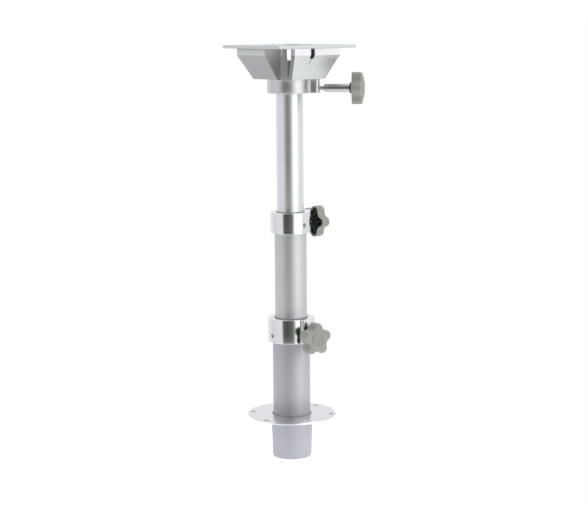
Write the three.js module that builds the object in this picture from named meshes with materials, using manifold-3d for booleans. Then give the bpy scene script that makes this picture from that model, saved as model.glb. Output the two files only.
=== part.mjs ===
// A three-stage telescopic table pedestal: a floor socket, three nested tubes with clamp collars,
// and a swivelling table head. Millimetres, +Z up, origin at the centre of the deck plane, which
// is the underside of the floor flange. The socket cup hangs below the deck.
import * as THREE from 'three';
import { mergeVertices } from 'three/addons/utils/BufferGeometryUtils.js';
import Module from 'manifold-3d';

const wasm = await Module();
wasm.setup();

// ---------------------------------------------------------------- driving dimensions

// Fits shared by every piece.
const FIT_GAP = 0.3; // between pieces that are fixed to each other
const SLIDE_GAP = 0.25; // radial, between a tube and the sleeve that guides it
const SEAT_GAP = 0.1; // between faces that rest on each other
const CUT_PAST = 1; // how far a cutting tool runs past the face that it cuts

// How finely round shapes are cut.
const SIDES = 40; // turned pieces
const SMALL_SIDES = 12; // screws and screw holes
const RING_STEPS = 34; // around a collar, apart from its lug
const ROUND_STEPS = 4; // a rounded corner
const FILLET_STEPS = 2;
const LOBE_STEPS = 5;
const VALLEY_STEPS = 3;
const CROWN_STEPS = 2;
const WELD = 1e-4; // corners closer than this are one

// Telescope.
const UPPER_TUBE_R = 25;
const TUBE_WALL = 3;
const SLEEVE_WALL = 1.45;
const LOWER_COLLAR_TOP = 190; // above the deck
const MIDDLE_RISE = 200; // lower collar top to upper collar top
const UPPER_RISE = 221.4; // upper collar top to the foot of the swivel socket
const LOWER_OVERLAP = 78; // middle tube left inside the lower stage at full height
const UPPER_OVERLAP = 54; // upper tube left inside the middle stage at full height

// Floor socket.
const FLANGE_R = 84;
const FLANGE_T = 4;
const FLANGE_CHAMFER = 0.8;
const FLANGE_LIP_T = 1.5; // lip over the rim of the cup
const FLANGE_SCREWS = 6;
const FLANGE_SCREW_IN = 10; // from the rim to the ring of holes
const FLANGE_SCREW_START = 15; // degrees, the first screw hole
const FLANGE_HOLE_R = 3.2;
const FLANGE_SINK_R = 6.8;
const FLANGE_SINK_LAND = 0.6; // straight part below each countersink
const CUP_DEPTH = 79;
const CUP_FLOOR = 4;
const CUP_WALL = 1.6; // at the foot, its thinnest place
const CUP_RIM_WALL = 1.9; // around the liner
const CUP_FOOT_ROUND = 3;
const CUP_CLEARANCE = 0.4; // radial, around the lower tube
const LINER_WALL = 1.8;
const LINER_DEPTH = 14; // below the deck
const LINER_PROUD = 0.3; // above the flange

// Clamp collars and the lugs that hold their screws.
const LOWER_COLLAR = { wall: 9, height: 45.5, lug: 8, lugHalf: 10, lugRound: 3, screwUp: 13.5 };
const UPPER_COLLAR = { wall: 7.5, height: 39, lug: 9.5, lugHalf: 9, lugRound: 3, screwUp: 16 };
const COLLAR_FILLET = 3;
const COLLAR_CHAMFER = 1;
const COLLAR_LIP_T = 3; // lip over the end of the tube
const SLEEVE_FLANGE_T = 1.5;
const SLEEVE_PROUD = 0.6;
const SET_SCREW_TURNS = [-90, 90]; // degrees, from the knob
const SET_SCREW_R = 4;
const SET_SCREW_SINK = 0.9; // below the face of the collar
const SET_SCREW_HEX = 4.6; // across corners
const SET_SCREW_HEX_DEPTH = 3.5;
const COLLAR_TURN = { lower: -90, upper: 7, head: -45 }; // degrees, where each knob points

// Ends of the tubes.
const FOOT_PLUG_T = 4;
const FOOT_PLUG_SPIGOT = 14;
const PLUG_WALL = 3.2;
const BUSH_FLANGE_T = 8;
const BUSH_SPIGOT = 8;
const CAP_FLANGE_T = 2.5;
const CAP_SPIGOT = 12;
const CAP_DIMPLE_R = 9;
const CAP_DIMPLE_DEPTH = 1.5;

// Table head.
const HEAD_SOCKET = { wall: 16, height: 26.4, lug: 16, lugHalf: 11, lugRound: 7, screwUp: 9 };
const HEAD_BOSS_WALL = 5;
const HEAD_BOSS_LENGTH = 34; // above the ring
const HEAD_BOSS_LIP_T = 4;
const HEAD_BOSS_LIP = 7; // how far the lip covers the end of the tube
const SHEET_T = 2.5;
const PAN_HEIGHT = 56; // from under its floor to under the plate
const PAN_RIM = 12; // upright top part of each flap
const PAN_SET_IN = 1; // from the edge of the plate to the outside of the flaps
const PAN_FLOOR_REACH = 55;
const SIDE_FLAP = { top: 43.5, floor: 37.5 }; // half widths of the flaps on X
const FACE_FLAP = { top: 52, floor: 35 }; // half widths of the flaps on Y
const FOLD_FLOOR_X = 47.6; // where the corner fold meets the floor
const INNER_FOLD = { floor: 13.4, top: 11.4 }; // widths of the two folds at each corner's slit
const OUTER_FOLD = { floor: 6.8, top: 6.3 };
const SLOT = { x: -11, width: 9, depth: 18, tail: 1.6, tailDepth: 10 };
const TAB = { half: 11, reach: 18, offset: 15, holeIn: 12 }; // folded in under the plate
const PLATE_SIZE = 176;
const PLATE_T = 6;
const PLATE_HOLE_R = 45;
const PLATE_FIXING_R = 3.5;
const PLATE_FIXING_IN = 14; // from both edges to a fixing hole
const M5 = { r: 2.5, headR: 4.3, headH: 2.6, hex: 3.4, hexDepth: 1.6, nutR: 4.6, nutT: 4 };
const SOCKET_SCREWS = 4;
const SOCKET_SCREW_START = 45; // degrees, from the lug
const SOCKET_SCREW_GAP = 0.8; // between a screw's head and the hole for the boss
const SOCKET_SCREW_LENGTH = 12;
const PLATE_SCREW_LENGTH = 16;

// Clamp screws: a star knob, a threaded stud and a soft pad.
const STUD_R = 4;
const STUD_CHAMFER = 0.8;
const PAD_SET_IN = 0.2; // how much thinner the pad is than the stud, in radius
const PAD_LENGTH = 4;
const HEAD_PAD_BACKED_OFF = 5; // the head knob stands part unscrewed
const KNOB_GAP = { lower: 13, upper: 9, head: 60.5 }; // from the lug to the knob's back rim
const KNOB_PHASE = { lower: 15, upper: 39, head: 36 }; // degrees, the first lobe
const LOBES = 5;
const LOBE_AT = 20.5;
const LOBE_R = 10;
const VALLEY_R = 10;
const KNOB_SIDE = 15.5; // straight part of the side
const KNOB_CROWN = 4.5; // rounded part in front of it
const KNOB_WALL = 2.6;
const KNOB_FRONT_T = 5;
const KNOB_DISC_R = 15;
const KNOB_DISC_T = 2;
const HUB_R = 10;
const HUB_PROUD = 4.5; // behind the back rim
const HUB_BORE = 15;
const CORE_WALL = 1.2;
const CORE_SET_IN = 1.5;
const RIB_T = 1.4;
const NECK_R = 7.6;
const NECK_GAP = 8; // from the lug to the neck's inner end
const NECK_CHAMFER = 1.5;

// ---------------------------------------------------------------- derived dimensions

const UPPER_BORE_R = UPPER_TUBE_R - TUBE_WALL;
const UPPER_SLEEVE_R = UPPER_TUBE_R + SLIDE_GAP; // inside of the upper guide sleeve
const MIDDLE_BORE_R = UPPER_SLEEVE_R + SLEEVE_WALL + FIT_GAP;
const MIDDLE_TUBE_R = MIDDLE_BORE_R + TUBE_WALL;
const MIDDLE_SLEEVE_R = MIDDLE_TUBE_R + SLIDE_GAP;
const LOWER_BORE_R = MIDDLE_SLEEVE_R + SLEEVE_WALL + FIT_GAP;
const LOWER_TUBE_R = LOWER_BORE_R + TUBE_WALL;

const UPPER_COLLAR_TOP = LOWER_COLLAR_TOP + MIDDLE_RISE;
const HEAD_FOOT = UPPER_COLLAR_TOP + UPPER_RISE;
const PAN_FLOOR = HEAD_FOOT + HEAD_SOCKET.height + SEAT_GAP;
const PLATE_FOOT = PAN_FLOOR + PAN_HEIGHT + SEAT_GAP;
const CLAMP_HOLE_R = STUD_R + FIT_GAP;
const PAD_R = STUD_R - PAD_SET_IN;

const HEAD_BOSS_R = UPPER_TUBE_R + HEAD_BOSS_WALL;
const HEAD_BOSS_LIP_R = UPPER_TUBE_R - HEAD_BOSS_LIP;
const HEAD_BOSS_TOP = HEAD_FOOT + HEAD_SOCKET.height + HEAD_BOSS_LENGTH;
const SOCKET_SCREW_RING_R = HEAD_BOSS_R + FIT_GAP + M5.headR + SOCKET_SCREW_GAP;
const PAN_TOP_REACH = PLATE_SIZE / 2 - PAN_SET_IN; // outside of the flaps, from the axis
const PLATE_FIXING_AT = PLATE_SIZE / 2 - PLATE_FIXING_IN;
const PLATE_SCREW_AT = PAN_TOP_REACH - TAB.holeIn;

const FLANGE_SCREW_RING_R = FLANGE_R - FLANGE_SCREW_IN;
const LINER_R = LOWER_TUBE_R + SLIDE_GAP;
const MOUTH_R = LINER_R + LINER_WALL + FIT_GAP;
const CUP_RIM_R = MOUTH_R + CUP_RIM_WALL;
const CUP_BORE_R = LOWER_TUBE_R + CUP_CLEARANCE;
const CUP_FOOT_R = CUP_BORE_R + CUP_WALL;
const LOWER_TUBE_FOOT = -CUP_DEPTH + CUP_FLOOR + SEAT_GAP + FOOT_PLUG_T + SEAT_GAP;

/** One stage's collar with its radius and its lug's reach, its place and what its screw clamps. */
function collarAt(size, outerR, innerR, top, turn) {
  const r = outerR + size.wall;
  const foot = top - size.height;
  const screwHeight = foot + size.screwUp;
  return { ...size, outerR, innerR, top, turn, foot, r, lugReach: r + size.lug, screwHeight };
}

const COLLARS = {
  lower: collarAt(LOWER_COLLAR, LOWER_TUBE_R, MIDDLE_TUBE_R, LOWER_COLLAR_TOP, COLLAR_TURN.lower),
  upper: collarAt(UPPER_COLLAR, MIDDLE_TUBE_R, UPPER_TUBE_R, UPPER_COLLAR_TOP, COLLAR_TURN.upper),
  head: collarAt(HEAD_SOCKET, UPPER_TUBE_R, UPPER_TUBE_R, HEAD_FOOT + HEAD_SOCKET.height, COLLAR_TURN.head),
};
const CORNERS = [[1, 1], [-1, 1], [-1, -1], [1, -1]];

const FINISH = {
  polished: { color: 0xd8dadc, roughness: 0.15, metalness: 1 },
  anodised: { color: 0xc4c6ca, roughness: 0.4, metalness: 1 },
  cast: { color: 0xb9bac4, roughness: 0.6, metalness: 0.8 },
  plated: { color: 0xbfc8c5, roughness: 0.3, metalness: 1 },
  steel: { color: 0x9a9c9c, roughness: 0.3, metalness: 1 },
  greyPlastic: { color: 0xb4b6ae, roughness: 0.5, metalness: 0 },
  blackPlastic: { color: 0x101010, roughness: 0.5, metalness: 0 },
  nylon: { color: 0x55585a, roughness: 0.6, metalness: 0 },
};

// ---------------------------------------------------------------- solids

/** A solid body from a closed geometry. */
function solid(geometry) {
  const bare = geometry.clone();
  bare.deleteAttribute('normal');
  bare.deleteAttribute('uv');
  const merged = mergeVertices(bare, WELD);
  const corners = merged.index.array;
  const kept = [];
  for (let i = 0; i < corners.length; i += 3) {
    const [a, b, c] = [corners[i], corners[i + 1], corners[i + 2]];
    if (a !== b && b !== c && c !== a) kept.push(a, b, c);
  }
  return new wasm.Manifold(new wasm.Mesh({
    numProp: 3,
    vertProperties: new Float32Array(merged.attributes.position.array),
    triVerts: new Uint32Array(kept),
  }));
}

/** A geometry from a solid body. */
function geometryOf(body) {
  const mesh = body.getMesh();
  const geometry = new THREE.BufferGeometry();
  geometry.setAttribute('position', new THREE.BufferAttribute(mesh.vertProperties, 3));
  geometry.setIndex(new THREE.BufferAttribute(mesh.triVerts, 1));
  return geometry;
}

/** A named mesh from a solid body. */
function piece(name, body, finish) {
  const geometry = geometryOf(body);
  geometry.computeVertexNormals();
  const mesh = new THREE.Mesh(geometry, new THREE.MeshStandardMaterial(finish));
  mesh.name = name;
  return mesh;
}

/** Points along an arc, both ends included; angles in degrees. */
function arc(x, y, r, from, to, steps) {
  return Array.from({ length: steps + 1 }, (_, i) => {
    const angle = THREE.MathUtils.degToRad(from + ((to - from) * i) / steps);
    return new THREE.Vector2(x + r * Math.cos(angle), y + r * Math.sin(angle));
  });
}

/** A body turned about Z from [radius, height] pairs that run anticlockwise. */
function turned(profile, sides = SIDES) {
  const points = profile.map((p) => (p.isVector2 ? p : new THREE.Vector2(...p)));
  return solid(new THREE.LatheGeometry(points, sides).rotateX(Math.PI / 2));
}

/** A turned ring between two radii, with an optional chamfer on its outer edges. */
function ring(inner, outer, from, to, chamfer = 0) {
  const edge = chamfer
    ? [[outer - chamfer, from], [outer, from + chamfer], [outer, to - chamfer], [outer - chamfer, to]]
    : [[outer, from], [outer, to]];
  return turned([[inner, from], ...edge, [inner, to], [inner, from]]);
}

/** A round bar along Z. */
function bar(r, from, to, sides = SMALL_SIDES, endR = r) {
  const geometry = new THREE.CylinderGeometry(endR, r, to - from, sides);
  return solid(geometry.rotateX(Math.PI / 2).translate(0, 0, (from + to) / 2));
}

/** A box from its lowest to its highest corner. */
function block(low, high) {
  const size = high.map((v, i) => v - low[i]);
  const middle = high.map((v, i) => (v + low[i]) / 2);
  return solid(new THREE.BoxGeometry(...size).translate(...middle));
}

/** An outline pushed along Z, with its edges chamfered. */
function extruded(outline, from, to, chamfer = 0, steps = 1) {
  const options = chamfer
    ? { bevelEnabled: true, bevelThickness: chamfer, bevelSize: chamfer, bevelOffset: -chamfer }
    : { bevelEnabled: false };
  const geometry = new THREE.ExtrudeGeometry(new THREE.Shape(outline), {
    depth: to - from - 2 * chamfer, bevelSegments: steps, ...options,
  });
  return solid(geometry.translate(0, 0, from + chamfer));
}

/** The same solid moved by a matrix. */
function moved(body, matrix) {
  return solid(geometryOf(body).applyMatrix4(matrix));
}

/** The matrix that turns a piece made along Z to point outward along X, with its Y upright. */
function outward(degrees = 0) {
  const a = THREE.MathUtils.degToRad(degrees);
  return new THREE.Matrix4().makeBasis(
    new THREE.Vector3(-Math.sin(a), Math.cos(a), 0),
    new THREE.Vector3(0, 0, 1),
    new THREE.Vector3(Math.cos(a), Math.sin(a), 0),
  );
}

/** A round bar that points outward from the axis at a height. */
function crossBar(r, from, to, height, degrees = 0) {
  return moved(bar(r, from, to), outward(degrees).setPosition(0, 0, height));
}

// ---------------------------------------------------------------- floor socket

function floorFlange() {
  let body = turned([
    [CUP_RIM_R + FIT_GAP, 0],
    [FLANGE_R, 0],
    [FLANGE_R, FLANGE_T - FLANGE_CHAMFER],
    [FLANGE_R - FLANGE_CHAMFER, FLANGE_T],
    [MOUTH_R, FLANGE_T],
    [MOUTH_R, FLANGE_T - FLANGE_LIP_T],
    [CUP_RIM_R + FIT_GAP, FLANGE_T - FLANGE_LIP_T],
    [CUP_RIM_R + FIT_GAP, 0],
  ]);
  const slope = (FLANGE_SINK_R - FLANGE_HOLE_R) / (FLANGE_T - FLANGE_SINK_LAND);
  const sinkTopR = FLANGE_SINK_R + slope * CUT_PAST;
  for (let i = 0; i < FLANGE_SCREWS; i += 1) {
    const angle = THREE.MathUtils.degToRad(FLANGE_SCREW_START + (360 * i) / FLANGE_SCREWS);
    const at = new THREE.Matrix4().makeTranslation(
      FLANGE_SCREW_RING_R * Math.cos(angle), FLANGE_SCREW_RING_R * Math.sin(angle), 0);
    const hole = bar(FLANGE_HOLE_R, -CUT_PAST, FLANGE_T + CUT_PAST)
      .add(bar(FLANGE_HOLE_R, FLANGE_SINK_LAND, FLANGE_T + CUT_PAST, SMALL_SIDES, sinkTopR));
    body = body.subtract(moved(hole, at));
  }
  return piece('floor_flange', body, FINISH.polished);
}

function socketCup() {
  const foot = arc(CUP_FOOT_R - CUP_FOOT_ROUND, -CUP_DEPTH + CUP_FOOT_ROUND, CUP_FOOT_ROUND, -90, 0,
    ROUND_STEPS);
  const rim = FLANGE_T - FLANGE_LIP_T - SEAT_GAP;
  return piece('socket_cup', turned([
    [0, -CUP_DEPTH],
    ...foot,
    [CUP_RIM_R, 0],
    [CUP_RIM_R, rim],
    [MOUTH_R, rim],
    [MOUTH_R, -LINER_DEPTH],
    [CUP_BORE_R, -LINER_DEPTH],
    [CUP_BORE_R, -CUP_DEPTH + CUP_FLOOR],
    [0, -CUP_DEPTH + CUP_FLOOR],
  ]), FINISH.cast);
}

function socketLiner() {
  const body = ring(LINER_R, LINER_R + LINER_WALL, -LINER_DEPTH + SEAT_GAP, FLANGE_T + LINER_PROUD);
  return piece('socket_liner', body, FINISH.nylon);
}

// ---------------------------------------------------------------- telescope

/** Where the end of the outer tube lies, under the lip of its collar. */
const tubeEnd = (collarTop) => collarTop - COLLAR_LIP_T - SLEEVE_FLANGE_T - 2 * SEAT_GAP;

/** A tube, with a hole through its wall for a clamp screw where it carries a collar. */
function tube(name, outer, from, to, screwHeight) {
  let body = ring(outer - TUBE_WALL, outer, from, to);
  if (screwHeight !== undefined) {
    body = body.subtract(crossBar(CLAMP_HOLE_R, outer - 2 * TUBE_WALL, outer + CUT_PAST, screwHeight));
  }
  return piece(name, body, FINISH.anodised);
}

/** The long plastic sleeve that guides the inner tube, hung by its flange under the collar's lip. */
function guideSleeve(name, tubeR, top, length, screwHeight) {
  const inner = tubeR + SLIDE_GAP;
  const outer = inner + SLEEVE_WALL;
  const seat = top - COLLAR_LIP_T - SEAT_GAP;
  const flangeR = outer + FIT_GAP + TUBE_WALL;
  const body = turned([
    [inner, top - length],
    [outer, top - length],
    [outer, seat - SLEEVE_FLANGE_T],
    [flangeR, seat - SLEEVE_FLANGE_T],
    [flangeR, seat],
    [outer, seat],
    [outer, top + SLEEVE_PROUD],
    [inner, top + SLEEVE_PROUD],
    [inner, top - length],
  ]).subtract(crossBar(CLAMP_HOLE_R, inner - SLEEVE_WALL, outer + SLEEVE_WALL, screwHeight));
  return piece(name, body, FINISH.nylon);
}

/** Outline of a ring with a lug on +X, joined by fillets. */
function luggedOutline({ r, lugReach, lugHalf, lugRound }) {
  const fy = lugHalf + COLLAR_FILLET;
  const fx = Math.sqrt((r + COLLAR_FILLET) ** 2 - fy ** 2);
  const spread = THREE.MathUtils.radToDeg(Math.atan2(fy, fx));
  const nose = lugReach - lugRound;
  return [
    ...arc(nose, lugRound - lugHalf, lugRound, -90, 0, ROUND_STEPS),
    ...arc(nose, lugHalf - lugRound, lugRound, 0, 90, ROUND_STEPS),
    ...arc(fx, fy, COLLAR_FILLET, 270, 180 + spread, FILLET_STEPS),
    ...arc(0, 0, r, spread, 360 - spread, RING_STEPS).slice(1, -1),
    ...arc(fx, -fy, COLLAR_FILLET, 180 - spread, 90, FILLET_STEPS),
  ];
}

/** A ring that closes the end of a tube and holds the clamp screw of the tube inside it. */
function clampCollar(name, collar) {
  const { foot, top, outerR, screwHeight } = collar;
  const bore = turned([
    [0, foot - CUT_PAST],
    [outerR + FIT_GAP, foot - CUT_PAST],
    [outerR + FIT_GAP, top - COLLAR_LIP_T],
    [outerR - TUBE_WALL, top - COLLAR_LIP_T],
    [outerR - TUBE_WALL, top + CUT_PAST],
    [0, top + CUT_PAST],
  ]);
  const start = outerR - CUT_PAST;
  let body = extruded(luggedOutline(collar), foot, top, COLLAR_CHAMFER)
    .subtract(bore)
    .subtract(crossBar(CLAMP_HOLE_R, start, collar.lugReach + CUT_PAST, screwHeight));
  for (const side of SET_SCREW_TURNS) {
    const hole = crossBar(SET_SCREW_R + FIT_GAP, start, collar.r + CUT_PAST, screwHeight, side);
    body = body.subtract(hole);
  }
  return piece(name, body, FINISH.polished);
}

/** Two hex-socket screws that fix a collar to its tube, a quarter turn from the knob on each side. */
function setScrews(name, collar) {
  const from = collar.outerR + FIT_GAP;
  const to = collar.r - SET_SCREW_SINK;
  const hex = bar(SET_SCREW_HEX / 2, to - SET_SCREW_HEX_DEPTH, to + CUT_PAST, 6);
  const screw = bar(SET_SCREW_R, from, to).subtract(hex);
  return SET_SCREW_TURNS.map((side, i) => {
    const at = outward(side).setPosition(0, 0, collar.screwHeight);
    return piece(`${name}_${i + 1}`, moved(screw, at), FINISH.steel);
  });
}

/** The slippery bush on the foot of an inner tube, which stops against the guide sleeve above it. */
function footBush(name, tubeR, tubeFoot, outer) {
  const spigotR = tubeR - TUBE_WALL - FIT_GAP;
  const bore = spigotR - PLUG_WALL;
  const flangeTop = tubeFoot - SEAT_GAP;
  return piece(name, turned([
    [bore, flangeTop - BUSH_FLANGE_T],
    [outer, flangeTop - BUSH_FLANGE_T],
    [outer, flangeTop],
    [spigotR, flangeTop],
    [spigotR, flangeTop + BUSH_SPIGOT],
    [bore, flangeTop + BUSH_SPIGOT],
    [bore, flangeTop - BUSH_FLANGE_T],
  ]), FINISH.nylon);
}

/** The cap that closes the foot of the lower tube and rests on the floor of the cup. */
function footPlug() {
  const spigotR = LOWER_BORE_R - FIT_GAP;
  const flangeTop = LOWER_TUBE_FOOT - SEAT_GAP;
  const foot = flangeTop - FOOT_PLUG_T;
  return piece('lower_tube_plug', turned([
    [0, foot],
    [LOWER_TUBE_R - CUP_CLEARANCE, foot],
    [LOWER_TUBE_R - CUP_CLEARANCE, flangeTop],
    [spigotR, flangeTop],
    [spigotR, flangeTop + FOOT_PLUG_SPIGOT],
    [spigotR - PLUG_WALL, flangeTop + FOOT_PLUG_SPIGOT],
    [spigotR - PLUG_WALL, foot + PLUG_WALL],
    [0, foot + PLUG_WALL],
  ]), FINISH.blackPlastic);
}

/** The cap in the top of the upper tube, on which the head turns. */
function tubeCap(tubeTop) {
  const top = tubeTop + SEAT_GAP + CAP_FLANGE_T;
  const spigotR = UPPER_BORE_R - FIT_GAP;
  return piece('upper_tube_cap', turned([
    [0, tubeTop - CAP_SPIGOT],
    [spigotR, tubeTop - CAP_SPIGOT],
    [spigotR, tubeTop + SEAT_GAP],
    [UPPER_TUBE_R, tubeTop + SEAT_GAP],
    [UPPER_TUBE_R, top],
    [CAP_DIMPLE_R, top],
    [CAP_DIMPLE_R, top - CAP_DIMPLE_DEPTH],
    [0, top - CAP_DIMPLE_DEPTH],
  ]), FINISH.blackPlastic);
}

// ---------------------------------------------------------------- clamp screws

/** The star outline, grown or shrunk evenly; lobes and valleys are tangent arcs. */
function star(offset, phase) {
  const reach = LOBE_R + VALLEY_R;
  const half = 180 / LOBES;
  const turn = THREE.MathUtils.degToRad(half);
  const along = LOBE_AT * Math.cos(turn);
  const valleyAt = along + Math.sqrt(reach ** 2 - (LOBE_AT * Math.sin(turn)) ** 2);
  const [dx, dy] = [valleyAt * Math.cos(turn) - LOBE_AT, valleyAt * Math.sin(turn)];
  const tilt = THREE.MathUtils.radToDeg(Math.atan2(dy, dx)); // from a lobe's centre to a valley's
  const points = [];
  for (let i = 0; i < LOBES; i += 1) {
    const axis = phase + 2 * half * i;
    const a = THREE.MathUtils.degToRad(axis);
    const b = THREE.MathUtils.degToRad(axis + half);
    const lobe = arc(LOBE_AT * Math.cos(a), LOBE_AT * Math.sin(a), LOBE_R + offset,
      axis - tilt, axis + tilt, LOBE_STEPS);
    const valley = arc(valleyAt * Math.cos(b), valleyAt * Math.sin(b), VALLEY_R - offset,
      axis + tilt + 180, axis + 2 * half - tilt + 180, VALLEY_STEPS);
    points.push(...lobe.slice(1), ...valley.slice(1));
  }
  return points;
}

/** The shell of a star knob: hollow behind, crowned in front, with a hub for the stud. */
function knobHandle(name, phase) {
  const front = KNOB_SIDE + KNOB_CROWN;
  const past = LOBE_AT + LOBE_R + CUT_PAST;
  const crowned = extruded(star(0, phase), -KNOB_CROWN - CUT_PAST, front, KNOB_CROWN, CROWN_STEPS);
  const behind = block([-past, -past, -past], [past, past, 0]);
  const pocketEnd = front - KNOB_FRONT_T;
  const pocket = extruded(star(-KNOB_WALL, phase), -CUT_PAST, pocketEnd);
  const disc = turned([
    [0, front - CUT_PAST],
    [KNOB_DISC_R, front - CUT_PAST],
    [KNOB_DISC_R, front + KNOB_DISC_T / 2],
    [KNOB_DISC_R - KNOB_DISC_T, front + KNOB_DISC_T],
    [0, front + KNOB_DISC_T],
  ], SIDES / 2);
  const body = crowned
    .subtract(behind)
    .subtract(pocket)
    .add(bar(HUB_R, -HUB_PROUD, pocketEnd + CUT_PAST, SIDES / 2))
    .add(disc)
    .subtract(bar(CLAMP_HOLE_R, -HUB_PROUD - CUT_PAST, HUB_BORE + FIT_GAP));
  return piece(name, body, FINISH.greyPlastic);
}

/** The ribbed dark core pressed into the back of a star knob. */
function knobCore(name, phase) {
  const outer = -KNOB_WALL - FIT_GAP;
  const pocketEnd = KNOB_SIDE + KNOB_CROWN - KNOB_FRONT_T;
  const end = pocketEnd - FIT_GAP;
  const hubHole = bar(HUB_R + FIT_GAP, -CUT_PAST, end + CUT_PAST, SIDES / 2);
  let ribs = bar(HUB_R + FIT_GAP + CORE_WALL, CORE_SET_IN + CORE_WALL, end, SIDES / 2);
  for (let i = 0; i < LOBES; i += 1) {
    const rib = block([0, -RIB_T / 2, CORE_SET_IN + CORE_WALL], [LOBE_AT + LOBE_R, RIB_T / 2, end]);
    const turn = THREE.MathUtils.degToRad(phase + (360 * i) / LOBES);
    ribs = ribs.add(moved(rib, new THREE.Matrix4().makeRotationZ(turn)));
  }
  const filled = extruded(star(outer, phase), CORE_SET_IN, end);
  const body = filled
    .subtract(extruded(star(outer - CORE_WALL, phase), CORE_SET_IN - CUT_PAST, end - CORE_WALL))
    .add(ribs.intersect(filled))
    .subtract(hubHole);
  return piece(name, body, FINISH.blackPlastic);
}

/** The three pieces that turn together on a clamp screw, and the soft pad that they push. */
function clampScrew(name, collar, backedOff) {
  const group = new THREE.Group();
  const back = collar.lugReach + KNOB_GAP[name];
  const padStart = collar.innerR + FIT_GAP + backedOff;
  const studStart = padStart + PAD_LENGTH + SEAT_GAP;
  const pad = piece(`${name}_clamp_pad`, bar(PAD_R, padStart, padStart + PAD_LENGTH), FINISH.nylon);
  const stud = piece(`${name}_knob_stud`, turned([
    [0, studStart],
    [STUD_R - STUD_CHAMFER, studStart],
    [STUD_R, studStart + STUD_CHAMFER],
    [STUD_R, back + HUB_BORE],
    [0, back + HUB_BORE],
  ], SMALL_SIDES), FINISH.steel);
  const handle = knobHandle(`${name}_knob_handle`, KNOB_PHASE[name]);
  const core = knobCore(`${name}_knob_core`, KNOB_PHASE[name]);
  handle.position.z = back;
  core.position.z = back;
  group.add(pad, stud, handle, core);
  group.applyMatrix4(outward(collar.turn).setPosition(0, 0, collar.screwHeight));
  return group;
}

/** The long spacer on the head's clamp screw, between its thread and its knob. */
function knobNeck(collar) {
  const start = collar.lugReach + NECK_GAP;
  const end = collar.lugReach + KNOB_GAP.head - HUB_PROUD - SEAT_GAP;
  const bore = STUD_R + FIT_GAP;
  const neck = piece('head_knob_neck', turned([
    [bore, start],
    [NECK_R - NECK_CHAMFER, start],
    [NECK_R, start + NECK_CHAMFER],
    [NECK_R, end],
    [bore, end],
    [bore, start],
  ], SIDES / 2), FINISH.steel);
  neck.applyMatrix4(outward(collar.turn).setPosition(0, 0, collar.screwHeight));
  return neck;
}

// ---------------------------------------------------------------- table head

/** The socket that turns on the upper tube, with a boss that passes through the bracket's floor. */
function swivelSocket() {
  const { foot, top, outerR, lugReach, screwHeight, turn } = COLLARS.head;
  const boss = ring(HEAD_BOSS_LIP_R, HEAD_BOSS_R, top - CUT_PAST, HEAD_BOSS_TOP);
  const bore = bar(outerR + SLIDE_GAP, foot - CUT_PAST, HEAD_BOSS_TOP - HEAD_BOSS_LIP_T, SIDES);
  const lipBore = bar(HEAD_BOSS_LIP_R, foot, HEAD_BOSS_TOP + CUT_PAST, SIDES);
  let body = extruded(luggedOutline(COLLARS.head), foot, top, COLLAR_CHAMFER)
    .add(boss)
    .subtract(bore)
    .subtract(lipBore)
    .subtract(crossBar(CLAMP_HOLE_R, outerR - CUT_PAST, lugReach + CUT_PAST, screwHeight));
  for (const at of socketScrewPlaces()) {
    const hole = bar(M5.r + FIT_GAP, top - SOCKET_SCREW_LENGTH - CUT_PAST, top + CUT_PAST);
    body = body.subtract(moved(hole, at));
  }
  const socket = piece('swivel_socket', body, FINISH.polished);
  socket.rotation.z = THREE.MathUtils.degToRad(turn);
  return socket;
}

/** The places of the screws around the socket, measured from its lug. */
function socketScrewPlaces() {
  return Array.from({ length: SOCKET_SCREWS }, (_, i) => {
    const a = THREE.MathUtils.degToRad(SOCKET_SCREW_START + (360 * i) / SOCKET_SCREWS);
    return new THREE.Matrix4().makeTranslation(
      SOCKET_SCREW_RING_R * Math.cos(a), SOCKET_SCREW_RING_R * Math.sin(a), 0);
  });
}

/** The screws that hold the bracket's floor on the socket. */
function socketScrews() {
  const seat = PAN_FLOOR + SHEET_T + SEAT_GAP;
  const head = bar(M5.headR, seat, seat + M5.headH).add(
    bar(M5.r, PAN_FLOOR - SOCKET_SCREW_LENGTH, seat + M5.headH / 2));
  const screw = head.subtract(bar(M5.hex / 2, seat + M5.headH - M5.hexDepth, seat + M5.headH + CUT_PAST, 6));
  const group = new THREE.Group();
  socketScrewPlaces().forEach((at, i) => {
    group.add(piece(`socket_screw_${i + 1}`, moved(screw, at), FINISH.steel));
  });
  group.rotation.z = THREE.MathUtils.degToRad(COLLAR_TURN.head);
  return group;
}

/** A flat sheet with the given corners, thickened towards a point inside the bracket. */
function sheet(corners, inside) {
  const points = corners.map((p) => new THREE.Vector3(...p));
  const along = points[1].clone().sub(points[0]).normalize();
  const normal = along.clone().cross(points[points.length - 1].clone().sub(points[0])).normalize();
  if (normal.dot(new THREE.Vector3(...inside).sub(points[0])) < 0) normal.negate();
  const across = normal.clone().cross(along);
  const frame = new THREE.Matrix4().makeBasis(along, across, normal).setPosition(points[0]);
  const back = frame.clone().invert();
  const outline = points.map((p) => {
    const flat = p.clone().applyMatrix4(back);
    return new THREE.Vector2(flat.x, flat.y);
  });
  return moved(extruded(outline, 0, SHEET_T), frame);
}

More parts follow.
